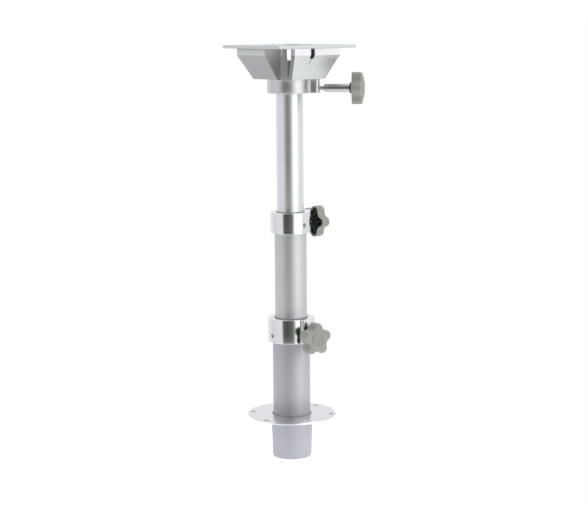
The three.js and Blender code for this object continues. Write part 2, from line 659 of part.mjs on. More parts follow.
/** One flap on +X: a sloping part and an upright rim. */
function flap(size) {
  const knee = PAN_FLOOR + PAN_HEIGHT - PAN_RIM;
  const top = PAN_FLOOR + PAN_HEIGHT;
  const inside = [0, 0, top];
  const slope = sheet([
    [PAN_FLOOR_REACH, -size.floor, PAN_FLOOR],
    [PAN_FLOOR_REACH, size.floor, PAN_FLOOR],
    [PAN_TOP_REACH, size.top, knee],
    [PAN_TOP_REACH, -size.top, knee],
  ], inside);
  const rim = block([PAN_TOP_REACH - SHEET_T, -size.top, knee], [PAN_TOP_REACH, size.top, top]);
  return slope.add(rim);
}

/** A tab folded in under the plate from the top of a flap on +X, with its screw hole. */
function tab(offset) {
  const top = PAN_FLOOR + PAN_HEIGHT;
  const low = [PAN_TOP_REACH - TAB.reach, offset - TAB.half, top - SHEET_T];
  const hole = moved(bar(M5.r + FIT_GAP, low[2] - CUT_PAST, top + CUT_PAST),
    new THREE.Matrix4().makeTranslation(PLATE_SCREW_AT, offset, 0));
  return block(low, [PAN_TOP_REACH - SHEET_T / 2, offset + TAB.half, top]).subtract(hole);
}

/** The three folds that close one corner; sx and sy say which corner. */
function cornerFolds(sx, sy) {
  const knee = PAN_FLOOR + PAN_HEIGHT - PAN_RIM;
  const top = PAN_FLOOR + PAN_HEIGHT;
  const foldFoot = [FOLD_FLOOR_X, SIDE_FLAP.floor];
  const foldTop = [FACE_FLAP.top, SIDE_FLAP.top];
  const edgeFoot = [FACE_FLAP.floor, PAN_FLOOR_REACH];
  const edgeTop = [FACE_FLAP.top, PAN_TOP_REACH];
  const cut = new THREE.Vector2(edgeFoot[0] - foldFoot[0], edgeFoot[1] - foldFoot[1]).normalize();
  const along = ([x, y], distance) => [x + cut.x * distance, y + cut.y * distance];
  const at = ([x, y], z) => [sx * x, sy * y, z];
  const strip = (footA, footB, topA, topB) => {
    const inside = [0, 0, top];
    const lower = sheet([at(footA, PAN_FLOOR), at(footB, PAN_FLOOR), at(topB, knee), at(topA, knee)], inside);
    return lower.add(sheet([at(topA, knee), at(topB, knee), at(topB, top), at(topA, top)], inside));
  };
  return [
    strip([PAN_FLOOR_REACH, SIDE_FLAP.floor], [FOLD_FLOOR_X - SHEET_T, SIDE_FLAP.floor],
      [PAN_TOP_REACH, SIDE_FLAP.top], [FACE_FLAP.top - SHEET_T, SIDE_FLAP.top]),
    strip(foldFoot, along(foldFoot, INNER_FOLD.floor), foldTop, along(foldTop, INNER_FOLD.top)),
    strip(edgeFoot, along(edgeFoot, -OUTER_FOLD.floor), edgeTop, along(edgeTop, -OUTER_FOLD.top)),
  ];
}

/** The pressed pan under the table plate. */
function tableBracket() {
  const top = PAN_FLOOR + PAN_HEIGHT;
  const quarter = new THREE.Matrix4().makeRotationZ(Math.PI / 2);
  const half = new THREE.Matrix4().makeRotationZ(Math.PI);
  const slot = block([-SLOT.x - SLOT.width / 2, PAN_FLOOR_REACH, top - SLOT.depth],
    [-SLOT.x + SLOT.width / 2, PAN_TOP_REACH + CUT_PAST, top + CUT_PAST]);
  const tail = block([-SLOT.x - SLOT.tail / 2, PAN_FLOOR_REACH, top - SLOT.depth - SLOT.tailDepth],
    [-SLOT.x + SLOT.tail / 2, PAN_TOP_REACH + CUT_PAST, top - SLOT.depth + CUT_PAST]);
  const floor = extruded([
    [PAN_FLOOR_REACH, -SIDE_FLAP.floor], [PAN_FLOOR_REACH, SIDE_FLAP.floor],
    [FOLD_FLOOR_X, SIDE_FLAP.floor], [FACE_FLAP.floor, PAN_FLOOR_REACH],
    [-FACE_FLAP.floor, PAN_FLOOR_REACH], [-FOLD_FLOOR_X, SIDE_FLAP.floor],
    [-PAN_FLOOR_REACH, SIDE_FLAP.floor], [-PAN_FLOOR_REACH, -SIDE_FLAP.floor],
    [-FOLD_FLOOR_X, -SIDE_FLAP.floor], [-FACE_FLAP.floor, -PAN_FLOOR_REACH],
    [FACE_FLAP.floor, -PAN_FLOOR_REACH], [FOLD_FLOOR_X, -SIDE_FLAP.floor],
  ].map((p) => new THREE.Vector2(...p)), PAN_FLOOR, PAN_FLOOR + SHEET_T);
  const sideFlap = flap(SIDE_FLAP);
  const faceFlap = moved(flap(FACE_FLAP), quarter).subtract(slot).subtract(tail);
  const sideTab = tab(0);
  const faceTab = moved(tab(TAB.offset), quarter);
  let body = floor
    .add(sideFlap).add(moved(sideFlap, half))
    .add(faceFlap).add(moved(faceFlap, half))
    .add(sideTab).add(moved(sideTab, half))
    .add(faceTab).add(moved(faceTab, half));
  for (const [sx, sy] of CORNERS) {
    for (const fold of cornerFolds(sx, sy)) body = body.add(fold);
  }
  const floorTop = PAN_FLOOR + SHEET_T;
  body = body.subtract(bar(HEAD_BOSS_R + FIT_GAP, PAN_FLOOR - CUT_PAST, floorTop + CUT_PAST, SIDES));
  const turn = new THREE.Matrix4().makeRotationZ(THREE.MathUtils.degToRad(COLLAR_TURN.head));
  for (const at of socketScrewPlaces()) {
    const hole = bar(M5.r + FIT_GAP, PAN_FLOOR - CUT_PAST, floorTop + CUT_PAST);
    body = body.subtract(moved(hole, turn.clone().multiply(at)));
  }
  return piece('table_bracket', body, FINISH.plated);
}

/** Where the plate is screwed to the bracket's tabs. */
const PLATE_SCREW_PLACES = [
  [PLATE_SCREW_AT, 0],
  [-TAB.offset, PLATE_SCREW_AT],
  [-PLATE_SCREW_AT, 0],
  [TAB.offset, -PLATE_SCREW_AT],
];

/** The square plate that the table top is screwed to from below. */
function tablePlate() {
  const half = PLATE_SIZE / 2;
  const top = PLATE_FOOT + PLATE_T;
  let body = block([-half, -half, PLATE_FOOT], [half, half, top])
    .subtract(bar(PLATE_HOLE_R, PLATE_FOOT - CUT_PAST, top + CUT_PAST, SIDES));
  for (const [x, y] of CORNERS) {
    const at = new THREE.Matrix4().makeTranslation(x * PLATE_FIXING_AT, y * PLATE_FIXING_AT, 0);
    body = body.subtract(moved(bar(PLATE_FIXING_R, PLATE_FOOT - CUT_PAST, top + CUT_PAST), at));
  }
  for (const [x, y] of PLATE_SCREW_PLACES) {
    const at = new THREE.Matrix4().makeTranslation(x, y, 0);
    const hole = bar(M5.r + FIT_GAP, PLATE_FOOT - CUT_PAST, top + CUT_PAST)
      .add(bar(M5.headR + FIT_GAP, top - M5.headH - FIT_GAP, top + CUT_PAST));
    body = body.subtract(moved(hole, at));
  }
  return piece('table_plate', body, FINISH.polished);
}

/** Sunk screws and nuts that join the plate to the bracket. */
function plateScrews() {
  const top = PLATE_FOOT + PLATE_T - FIT_GAP;
  const screw = bar(M5.headR, top - M5.headH, top)
    .add(bar(M5.r, top - PLATE_SCREW_LENGTH, top - M5.headH / 2))
    .subtract(bar(M5.hex / 2, top - M5.hexDepth, top + CUT_PAST, 6));
  const nutTop = PAN_FLOOR + PAN_HEIGHT - SHEET_T - SEAT_GAP;
  const nut = bar(M5.nutR, nutTop - M5.nutT, nutTop, 6)
    .subtract(bar(M5.r + FIT_GAP, nutTop - M5.nutT - CUT_PAST, nutTop + CUT_PAST));
  return PLATE_SCREW_PLACES.flatMap(([x, y], i) => {
    const at = new THREE.Matrix4().makeTranslation(x, y, 0);
    return [
      piece(`plate_screw_${i + 1}`, moved(screw, at), FINISH.steel),
      piece(`plate_nut_${i + 1}`, moved(nut, at), FINISH.steel),
    ];
  });
}

// ---------------------------------------------------------------- assembly

/** A group turned about the column's axis. */
function turnedGroup(degrees, ...children) {
  const group = new THREE.Group();
  group.add(...children);
  group.rotation.z = THREE.MathUtils.degToRad(degrees);
  return group;
}

function lowerStage() {
  const collar = COLLARS.lower;
  return turnedGroup(collar.turn,
    tube('lower_tube', LOWER_TUBE_R, LOWER_TUBE_FOOT, tubeEnd(collar.top), collar.screwHeight),
    footPlug(),
    clampCollar('lower_collar', collar),
    guideSleeve('lower_guide_sleeve', MIDDLE_TUBE_R, collar.top, LOWER_OVERLAP, collar.screwHeight),
    ...setScrews('lower_set_screw', collar));
}

function middleStage() {
  const collar = COLLARS.upper;
  const foot = LOWER_COLLAR_TOP - LOWER_OVERLAP - SEAT_GAP;
  return turnedGroup(collar.turn,
    tube('middle_tube', MIDDLE_TUBE_R, foot, tubeEnd(collar.top), collar.screwHeight),
    footBush('middle_foot_bush', MIDDLE_TUBE_R, foot, MIDDLE_SLEEVE_R + SLEEVE_WALL),
    clampCollar('upper_collar', collar),
    guideSleeve('upper_guide_sleeve', UPPER_TUBE_R, collar.top, UPPER_OVERLAP, collar.screwHeight),
    ...setScrews('upper_set_screw', collar));
}

function upperStage() {
  const foot = UPPER_COLLAR_TOP - UPPER_OVERLAP - SEAT_GAP;
  const top = HEAD_BOSS_TOP - HEAD_BOSS_LIP_T - CAP_FLANGE_T - 2 * SEAT_GAP;
  return turnedGroup(0,
    tube('upper_tube', UPPER_TUBE_R, foot, top),
    footBush('upper_foot_bush', UPPER_TUBE_R, foot, UPPER_SLEEVE_R + SLEEVE_WALL),
    tubeCap(top));
}

const pedestal = new THREE.Group();
pedestal.add(
  floorFlange(), socketCup(), socketLiner(),
  lowerStage(), clampScrew('lower', COLLARS.lower, 0),
  middleStage(), clampScrew('upper', COLLARS.upper, 0),
  upperStage(), swivelSocket(), socketScrews(),
  tableBracket(), tablePlate(), ...plateScrews(),
  clampScrew('head', COLLARS.head, HEAD_PAD_BACKED_OFF), knobNeck(COLLARS.head),
);

export default pedestal;
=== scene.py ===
"""The looks of a three-stage telescopic table pedestal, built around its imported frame.

Places and main sizes come from the frame. Each class holds the small sizes of one sub-assembly
and builds the pieces of it that are seen. Shapes are drawn in millimetres, with the column's axis
on Z, and are turned into metres when a piece is presented.
"""

import logging
import math
from collections.abc import Callable, Sequence
from dataclasses import dataclass
from enum import Enum

import bmesh
import bpy
from mathutils import Matrix, Vector


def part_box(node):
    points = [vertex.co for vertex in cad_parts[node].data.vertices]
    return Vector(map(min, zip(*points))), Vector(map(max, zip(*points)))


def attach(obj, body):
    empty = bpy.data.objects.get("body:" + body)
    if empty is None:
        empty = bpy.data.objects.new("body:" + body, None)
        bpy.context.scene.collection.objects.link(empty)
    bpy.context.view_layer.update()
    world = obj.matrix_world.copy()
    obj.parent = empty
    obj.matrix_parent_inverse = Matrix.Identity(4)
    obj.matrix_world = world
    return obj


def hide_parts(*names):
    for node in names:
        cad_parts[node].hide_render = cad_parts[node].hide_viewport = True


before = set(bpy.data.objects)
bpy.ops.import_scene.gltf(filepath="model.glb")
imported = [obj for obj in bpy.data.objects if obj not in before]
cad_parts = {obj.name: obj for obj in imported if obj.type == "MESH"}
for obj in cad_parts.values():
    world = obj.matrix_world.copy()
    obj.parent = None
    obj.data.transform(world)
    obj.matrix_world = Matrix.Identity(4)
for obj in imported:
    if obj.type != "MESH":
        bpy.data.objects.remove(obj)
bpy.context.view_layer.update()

log = logging.getLogger("pedestal")

MM = 0.001
GAP = 0.3  # between pieces that are fixed to each other
SEAT = 0.1  # between faces that rest on each other
PAST = 1.0  # how far a cutter runs past what it cuts
SIDES = 144  # round pieces
SMALL_SIDES = 40  # screws, pads and holes
SHARP_DEGREES = 28.0  # an edge that turns more than this stays crisp
WEAR_DEGREES = 20.0  # an edge that turns this much is fully worn
ROUND_STEPS = 4  # pieces in the rounding of a corner
SOFT_STEPS = 2  # pieces in the rounding of a crisp edge
MOST_OF_A_SIDE = 0.49  # what a rounding may take of the side next to it
EDGE_ATTRIBUTE = "edge"
# Points where a finish paints shade by darkening: holes, countersinks and the hollow back of a knob.
PAINTED_SHADE_ATTRIBUTE = "inside"
FACING_ATTRIBUTE = "facing"
UP = Vector((0.0, 0.0, 1.0))

Ring = list[Vector]
Corner = tuple[float, float, float]  # two coordinates and the radius of the rounding there
Colour = tuple[float, float, float]
Piece = bpy.types.Object
Shape = bmesh.types.BMesh
Tree = bpy.types.NodeTree
Socket = bpy.types.NodeSocket
Sockets = dict[str, Socket]
Given = bpy.types.NodeOutputs  # what a group is given
Inputs = Sequence[tuple[str, str, object]]  # name, socket type and default value, or None
Looks = tuple[object, object, object]  # sources of the colour, the roughness and the relief


class Slot(Enum):
    """The record's material slots."""

    POLISHED = "polished_aluminium"
    SATIN = "satin_tube"
    BRIGHT = "bright_tube"
    CAST = "cast_aluminium"
    SHEET = "plated_sheet"
    PLATE = "plated_plate"
    STEEL = "steel_fastener"
    GREY = "grey_plastic"
    BLACK = "black_plastic"
    NYLON = "nylon"


# ---------------------------------------------------------------- node trees


class Graph:
    """A node tree that is being built."""

    def __init__(self, tree: Tree) -> None:
        """Starts from an empty tree.

        Args:
            tree: the tree to fill; what it held is removed.
        """
        self.tree = tree
        tree.nodes.clear()

    def node(
        self, kind: str, inputs: dict[str | int, object] | None = None, **settings: object
    ) -> bpy.types.Node:
        """Adds a node.

        Args:
            kind: the node's type.
            inputs: for each socket's name or number, a value, or an output to join to it.
            settings: the node's own properties.

        Returns:
            The node.
        """
        made = self.tree.nodes.new(kind)
        for name, value in settings.items():
            setattr(made, name, value)
        for key, value in (inputs or {}).items():
            if isinstance(value, Socket):
                self.tree.links.new(value, made.inputs[key])
            else:
                made.inputs[key].default_value = value
        return made

    def math(self, operation: str, *values: object) -> Socket:
        """Adds a Math node and returns its result."""
        return self.node("ShaderNodeMath", dict(enumerate(values)), operation=operation).outputs[0]

    def vector(self, operation: str, *values: object) -> Socket:
        """Adds a Vector Math node and returns the vector, or the number of a length."""
        node = self.node("ShaderNodeVectorMath", dict(enumerate(values)), operation=operation)
        return node.outputs[1 if operation == "LENGTH" else 0]

    def combine(self, **axes: object) -> Socket:
        """Adds a Combine XYZ node and returns the vector."""
        return self.node("ShaderNodeCombineXYZ", axes).outputs[0]

    def halfway(self, low: object, high: object) -> Socket:
        """Returns the mean of two numbers."""
        return self.math("MULTIPLY", self.math("ADD", low, high), 0.5)

    def moved(self, geometry: object, **axes: object) -> Socket:
        """Moves a geometry along the axes and returns it."""
        sockets = {0: geometry, "Translation": self.combine(**axes)}
        return self.node("GeometryNodeTransform", sockets).outputs[0]

    def united(self, *solids: Socket) -> Socket:
        """Unites solids and returns the mesh.

        Args:
            solids: the meshes to unite.

        Returns:
            The united mesh.
        """
        both = self.node("GeometryNodeMeshBoolean", operation="UNION", solver="EXACT")
        for solid in solids:
            self.tree.links.new(solid, both.inputs["Mesh 2"])
        return both.outputs["Mesh"]

    def remap(
        self, value: Socket, low: float, high: float, to_low: float, to_high: float
    ) -> Socket:
        """Maps a value from one range to another, clamped, and returns the result."""
        sockets = {0: value, 1: low, 2: high, 3: to_low, 4: to_high}
        return self.node("ShaderNodeMapRange", sockets).outputs[0]

    def mix(self, share: object, first: object, second: object) -> Socket:
        """Mixes two colours by a share and returns the colour."""
        sockets = {0: share, 6: first, 7: second}
        return self.node("ShaderNodeMix", sockets, data_type="RGBA").outputs[2]

    def group(self, tree: Tree, place: object, **inputs: object) -> Given:
        """Adds a shared group that reads coordinates, and returns its outputs.

        Args:
            tree: the group.
            place: the coordinates.
            inputs: its other inputs, with _ for a space in a name.

        Returns:
            The outputs.
        """
        sockets = {key.replace("_", " "): value for key, value in inputs.items()}
        node = self.node("ShaderNodeGroup", {"Vector": place, **sockets}, node_tree=tree)
        return node.outputs

    def noise(self, vector: object, scale: object, detail: float = 2.0) -> Socket:
        """Adds a noise texture and returns its value."""
        sockets = {"Vector": vector, "Scale": scale, "Detail": detail}
        return self.node("ShaderNodeTexNoise", sockets).outputs[0]

    def ramp(self, value: object, stops: Sequence[tuple[float, Colour]]) -> Socket:
        """Adds a colour ramp with its own stops and returns the colour.

        Args:
            value: a number or a socket that the ramp reads.
            stops: position and colour of each stop, in order.

        Returns:
            The ramp's colour.
        """
        node = self.node("ShaderNodeValToRGB", {0: value})
        marks = node.color_ramp.elements
        while len(marks) < len(stops):
            marks.new(1.0)
        for mark, (at, colour) in zip(marks, stops):
            mark.position = at
            mark.color = (*colour, 1.0)
        return node.outputs[0]


FLOAT, VECTOR, INTEGER = "NodeSocketFloat", "NodeSocketVector", "NodeSocketInt"
GEOMETRY, MATERIAL, BOOLEAN = "NodeSocketGeometry", "NodeSocketMaterial", "NodeSocketBool"


def node_group(
    name: str,
    kind: str,
    inputs: Inputs,
    outputs: Sequence[tuple[str, str]],
    fill: Callable[[Graph, Given], Sockets],
) -> Tree:
    """Makes a node group once and gives the same one back later.

    Args:
        name: the group's name.
        kind: the type of tree.
        inputs: name, socket type and default value of each input, or None for no default.
        outputs: name and socket type of each output.
        fill: builds the tree from a graph and the group's inputs, and returns each result.

    Returns:
        The group.
    """
    if name in bpy.data.node_groups:
        return bpy.data.node_groups[name]
    tree = bpy.data.node_groups.new(name, kind)
    graph = Graph(tree)
    for label, socket, default in inputs:
        made = tree.interface.new_socket(label, in_out="INPUT", socket_type=socket)
        if default is not None:
            made.default_value = default
    for label, socket in outputs:
        tree.interface.new_socket(label, in_out="OUTPUT", socket_type=socket)
    results = fill(graph, graph.node("NodeGroupInput").outputs)
    graph.node("NodeGroupOutput", results)
    return tree


def shader_group(
    name: str,
    inputs: Inputs,
    outputs: Sequence[str],
    fill: Callable[[Graph, Given], Sockets],
) -> Tree:
    """A shader node group that reads a Vector and puts out masks."""
    given = [("Vector", VECTOR, None), *inputs]
    return node_group(name, "ShaderNodeTree", given, [(label, FLOAT) for label in outputs], fill)


def turned_lines() -> Tree:
    """The fine rings that a lathe leaves around Z, from 0 to 1.

    Returns:
        The group, which puts out Lines.
    """

    def fill(graph: Graph, given: Given) -> Sockets:
        """Noise over the radius and the height."""
        radius = graph.vector("LENGTH", graph.vector("MULTIPLY", given["Vector"], (1.0, 1.0, 0.0)))
        height = graph.node("ShaderNodeSeparateXYZ", {0: given["Vector"]}).outputs["Z"]
        place = graph.node("ShaderNodeCombineXYZ", {"X": radius, "Y": height}).outputs[0]
        return {"Lines": graph.noise(place, given["Lines per metre"], 3.0)}

    return shader_group("turned_lines", [("Lines per metre", FLOAT, 2500.0)], ["Lines"], fill)


def drawn_lines() -> Tree:
    """The straight grain that drawing or brushing leaves along one axis, from 0 to 1.

    Returns:
        The group, which puts out Lines.
    """

    def fill(graph: Graph, given: Given) -> Sockets:
        """Noise on stretched coordinates."""
        place = graph.vector("MULTIPLY", given["Vector"], given["Stretch"])
        return {"Lines": graph.noise(place, 1.0)}

    return shader_group("drawn_lines", [("Stretch", VECTOR, (1500.0, 1500.0, 12.0))], ["Lines"], fill)


def handling_marks() -> Tree:
    """Masks of the faint smudges and of the hairline scratches that handling leaves.

    Returns:
        The group, which puts out both masks.
    """

    def fill(graph: Graph, given: Given) -> Sockets:
        """Soft noise for the smudges, and the level line of a long noise for the scratches."""
        place = given["Vector"]
        smudge = graph.remap(graph.noise(place, given["Scale"], 4.0), 0.42, 0.68, 0.0, 1.0)
        long = graph.vector("MULTIPLY", place, (260.0, 210.0, 26.0))
        level = graph.math("ABSOLUTE", graph.math("SUBTRACT", graph.noise(long, 1.0), 0.5))
        line = graph.remap(level, 0.0, 0.004, 1.0, 0.0)
        return {"Smudges": smudge, "Scratches": graph.math("MULTIPLY", line, smudge)}

    return shader_group("handling_marks", [("Scale", FLOAT, 28.0)], ["Smudges", "Scratches"], fill)


def edge_wear() -> Tree:
    """A mask of wear that breaks up along the edges, from the edge attribute.

    Returns:
        The group, which puts out the mask.
    """

    def fill(graph: Graph, given: Given) -> Sockets:
        """The edge value, thinned by noise."""
        uneven = graph.remap(graph.noise(given["Vector"], 420.0, 3.0), 0.35, 0.65, 0.3, 1.0)
        return {"Wear": graph.math("MULTIPLY", given["Edge"], uneven)}

    return shader_group("edge_wear", [("Edge", FLOAT, 0.0)], ["Wear"], fill)


def skin_grain() -> Tree:
    """The height of a cast or moulded skin's grain, and a mask of its sparse pits.

    Returns:
        The group, which puts out the height and the pits.
    """

    def fill(graph: Graph, given: Given) -> Sockets:
        """Two scales of noise, with the cores of Voronoi cells as pits."""
        place, scale = given["Vector"], given["Scale"]
        coarse = graph.noise(place, graph.math("MULTIPLY", scale, 0.22))
        fine = graph.noise(place, scale, 3.0)
        cells = {"Vector": place, "Scale": graph.math("MULTIPLY", scale, 0.3)}
        distance = graph.node("ShaderNodeTexVoronoi", cells).outputs["Distance"]
        pit = graph.remap(distance, 0.06, 0.16, 1.0, 0.0)
        height = graph.math("ADD", graph.math("MULTIPLY", coarse, 0.8), fine)
        return {"Height": graph.math("SUBTRACT", height, pit), "Pits": pit}

    return shader_group("skin_grain", [("Scale", FLOAT, 1800.0)], ["Height", "Pits"], fill)


# ---------------------------------------------------------------- finishes


@dataclass(frozen=True)
class Finish:
    """What every finish has: a name, a slot of the record and the plain values of its surface."""

    name: str
    slot: Slot
    colour: Colour
    roughness: float
    metallic: float = 1.0
    relief_mm: float = 0.01  # height of its finest relief

    def material(self) -> bpy.types.Material:
        """The finish as a material, made once.

        Returns:
            The same material at each call.
        """
        made = bpy.data.materials.get(self.name)
        if made is None:
            made = bpy.data.materials.new(self.name)
            made.use_nodes = True
            graph = Graph(made.node_tree)
            place = graph.node("ShaderNodeTexCoord").outputs["Object"]
            colour, roughness, height = self.surface(graph, place)
            relief = {"Height": height, "Distance": self.relief_mm * MM}
            sockets = {
                "Base Color": colour,
                "Metallic": self.metallic,
                "Roughness": roughness,
                "Normal": graph.node("ShaderNodeBump", relief).outputs[0],
            }
            shader = graph.node("ShaderNodeBsdfPrincipled", sockets)
            graph.node("ShaderNodeOutputMaterial", {"Surface": shader.outputs[0]})
        return made

    def surface(self, graph: Graph, place: Socket) -> Looks:
        """Builds what is particular to this kind of finish.

        Args:
            graph: the material's graph.
            place: object coordinates.

        Returns:
            The sources of the colour, the roughness and the relief's height.
        """
        raise NotImplementedError

    def tone(self, factor: float) -> tuple[float, float, float, float]:
        """The colour made lighter or darker by a factor."""
        return (*(min(1.0, c * factor) for c in self.colour), 1.0)

    def painted_shade(self, graph: Graph, colour: object, factor: float) -> Socket:
        """A colour painted darker by a factor, as shade, where the mesh is marked as lying in shade."""
        inside = graph.node("ShaderNodeAttribute", attribute_name=PAINTED_SHADE_ATTRIBUTE).outputs["Fac"]
        return graph.mix(inside, colour, self.tone(factor))

    def wear(self, graph: Graph, place: object) -> Socket:
        """The mask of wear along the piece's edges."""
        edge = graph.node("ShaderNodeAttribute", attribute_name=EDGE_ATTRIBUTE).outputs["Fac"]
        return graph.group(edge_wear(), place, Edge=edge)["Wear"]


@dataclass(frozen=True)
class TurnedMetal(Finish):
    """Metal turned on a lathe around Z and polished, with handling marks."""

    lines_per_metre: float = 2200.0
    line_share: float = 0.05

    def surface(self, graph: Graph, place: Socket) -> Looks:
        """Rings in the roughness and the relief, smudges, bright edges, and painted shade where marked.
        """
        lines = graph.group(turned_lines(), place, Lines_per_metre=self.lines_per_metre)["Lines"]
        marks = graph.group(handling_marks(), place, Scale=26.0)
        wear = self.wear(graph, place)
        shaded = graph.mix(marks["Smudges"], self.tone(1.0), self.tone(0.95))
        # Painted shade: the colour turns much darker in the flange's holes and countersinks.
        colour = self.painted_shade(graph, graph.mix(wear, shaded, self.tone(1.06)), 0.12)
        spread = graph.remap(lines, 0.3, 0.7, -self.line_share, self.line_share)
        rough = graph.math("ADD", spread, self.roughness)
        smudged = graph.math("MULTIPLY_ADD", marks["Smudges"], 0.05, rough)
        height = graph.math("MULTIPLY_ADD", marks["Scratches"], -1.0, lines)
        return colour, smudged, height


@dataclass(frozen=True)
class DrawnTube(Finish):
    """Drawn and anodised tube: a fine lengthwise grain and faint cloudiness."""

    stretch: tuple[float, float, float] = (1400.0, 1400.0, 9.0)

    def surface(self, graph: Graph, place: Socket) -> Looks:
        """Lengthwise grain in colour, roughness and relief, and slow clouds."""
        lines = graph.group(drawn_lines(), place, Stretch=self.stretch)["Lines"]
        marks = graph.group(handling_marks(), place, Scale=14.0)
        wear = self.wear(graph, place)
        grain = graph.mix(lines, self.tone(0.95), self.tone(1.04))
        cloud = graph.mix(marks["Smudges"], grain, self.tone(0.97))
        colour = graph.mix(wear, cloud, self.tone(1.1))
        rough = graph.remap(lines, 0.25, 0.75, self.roughness - 0.04, self.roughness + 0.05)
        return colour, graph.math("MULTIPLY_ADD", marks["Smudges"], 0.03, rough), lines


@dataclass(frozen=True)
class CastSkin(Finish):
    """A matt cast or blasted skin, darker in its pits."""

    scale: float = 1500.0

    def surface(self, graph: Graph, place: Socket) -> Looks:
        """Grain in the relief, pits in the colour, slow clouds and worn edges."""
        skin = graph.group(skin_grain(), place, Scale=self.scale)
        marks = graph.group(handling_marks(), place, Scale=20.0)
        pitted = graph.mix(skin["Pits"], self.tone(1.0), self.tone(0.7))
        cloud = graph.mix(marks["Smudges"], pitted, self.tone(0.92))
        colour = graph.mix(self.wear(graph, place), cloud, self.tone(1.12))
        rough = graph.remap(skin["Height"], 0.2, 1.2, self.roughness - 0.05, self.roughness + 0.08)
        return colour, rough, skin["Height"]


@dataclass(frozen=True)
class PlatedSheet(Finish):
    """Zinc plated sheet: slow drifts between two passivation tints, and faint rolling lines."""

    second: Colour = (0.74, 0.74, 0.82)
    stretch: tuple[float, float, float] = (40.0, 900.0, 900.0)

    def surface(self, graph: Graph, place: Socket) -> Looks:
        """Two tints by slow noise, brighter edges, rolling lines and scratches."""
        drift = graph.remap(graph.noise(place, 22.0, 3.0), 0.38, 0.62, 0.0, 1.0)
        lines = graph.group(drawn_lines(), place, Stretch=self.stretch)["Lines"]
        marks = graph.group(handling_marks(), place, Scale=34.0)
        tint = graph.mix(drift, self.tone(1.0), (*self.second, 1.0))
        dull = graph.mix(marks["Smudges"], tint, self.tone(0.93))
        colour = graph.mix(self.wear(graph, place), dull, self.tone(1.15))
        rough = graph.remap(lines, 0.25, 0.75, self.roughness - 0.04, self.roughness + 0.06)
        height = graph.math("MULTIPLY_ADD", marks["Scratches"], -1.0, lines)
        return colour, graph.math("MULTIPLY_ADD", marks["Smudges"], 0.06, rough), height


@dataclass(frozen=True)
class MouldedPlastic(Finish):
    """Moulded plastic: an even fine grain, shinier and lighter at the edges, from wear by fingers and,
    on black mouldings, as a painted highlight.
    """

    scale: float = 2600.0
    # how much lighter the edges turn: wear on the grey plastic, a painted highlight on the black
    rub_and_highlight: float = 1.18

    def surface(self, graph: Graph, place: Socket) -> Looks:
        """Grain in the relief, slow clouds of tone, lighter edges, and painted shade where marked."""
        skin = graph.group(skin_grain(), place, Scale=self.scale)
        marks = graph.group(handling_marks(), place, Scale=45.0)
        wear = self.wear(graph, place)
        cloud = graph.mix(marks["Smudges"], self.tone(1.03), self.tone(0.93))
        outside = graph.mix(wear, cloud, self.tone(self.rub_and_highlight))
        # Painted shade: where marked, such as a knob's hub in its hollow back, the colour turns nearly
        # black.
        colour = self.painted_shade(graph, outside, 0.04)
        rough = graph.remap(skin["Height"], 0.2, 1.2, self.roughness - 0.05, self.roughness + 0.06)
        return colour, graph.math("MULTIPLY_ADD", wear, -0.1, rough), skin["Height"]


class Finishes:
    """The finishes of this pedestal."""

    POLISHED = TurnedMetal("polished_collar", Slot.POLISHED, (0.9, 0.9, 0.915), 0.15, relief_mm=0.004)
    SOCKET = TurnedMetal(
        "turned_socket", Slot.POLISHED, (0.71, 0.715, 0.71), 0.36, relief_mm=0.02,
        lines_per_metre=1300.0,
    )
    FLANGE = TurnedMetal(
        "turned_flange", Slot.POLISHED, (0.84, 0.84, 0.86), 0.26, relief_mm=0.004,
        lines_per_metre=1600.0, line_share=0.03,
    )
    LOWER_TUBE = DrawnTube("lower_tube_satin", Slot.SATIN, (0.59, 0.59, 0.615), 0.64, relief_mm=0.006)
    MIDDLE_TUBE = DrawnTube("middle_tube_satin", Slot.SATIN, (0.7, 0.705, 0.71), 0.53, relief_mm=0.006)
    UPPER_TUBE = DrawnTube("upper_tube_bright", Slot.BRIGHT, (0.87, 0.875, 0.875), 0.38, relief_mm=0.003)
    CAST = CastSkin("cast_cup_skin", Slot.CAST, (0.51, 0.505, 0.555), 0.56, 0.85, relief_mm=0.05)
    SHEET = PlatedSheet(
        "zinc_plated_sheet", Slot.SHEET, (0.88, 0.91, 0.9), 0.4, relief_mm=0.004,
        second=(0.91, 0.91, 0.95),
    )
    PLATE = PlatedSheet(
        "satin_table_plate", Slot.PLATE, (0.7, 0.71, 0.71), 0.34, relief_mm=0.006,
        second=(0.66, 0.67, 0.7),
    )
    STEEL = TurnedMetal(
        "zinc_plated_steel", Slot.STEEL, (0.6, 0.6, 0.58), 0.32, relief_mm=0.01,
        lines_per_metre=3000.0,
    )
    GREY = MouldedPlastic(
        "warm_grey_plastic", Slot.GREY, (0.36, 0.365, 0.342), 0.42, 0.0, relief_mm=0.02
    )
    BLACK = MouldedPlastic(
        "black_moulded_plastic", Slot.BLACK, (0.014, 0.014, 0.015), 0.4, 0.0, relief_mm=0.02,
        # edges painted nine times lighter: a painted highlight on every edge of the black mouldings, as
        # on the lit edges of the ribs
        rub_and_highlight=9.0,
    )
    NYLON = MouldedPlastic("grey_nylon", Slot.NYLON, (0.3, 0.305, 0.31), 0.5, 0.0, relief_mm=0.015)


# ---------------------------------------------------------------- shapes


@dataclass(frozen=True)
class Extent:
    """A CAD node's box at rest, in millimetres."""

    low: Vector
    high: Vector

    @classmethod
    def of(cls, node: str) -> "Extent":
        """Reads a node's box from the frame."""
        low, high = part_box(node)
        return cls(low / MM, high / MM)


def arc(centre: Vector, radius: float, start: float, turn: float, steps: int) -> list[Vector]:
    """Points along an arc, both ends included; angles in radians."""
    angles = [start + turn * k / steps for k in range(steps + 1)]
    return [centre + radius * Vector((math.cos(a), math.sin(a))) for a in angles]


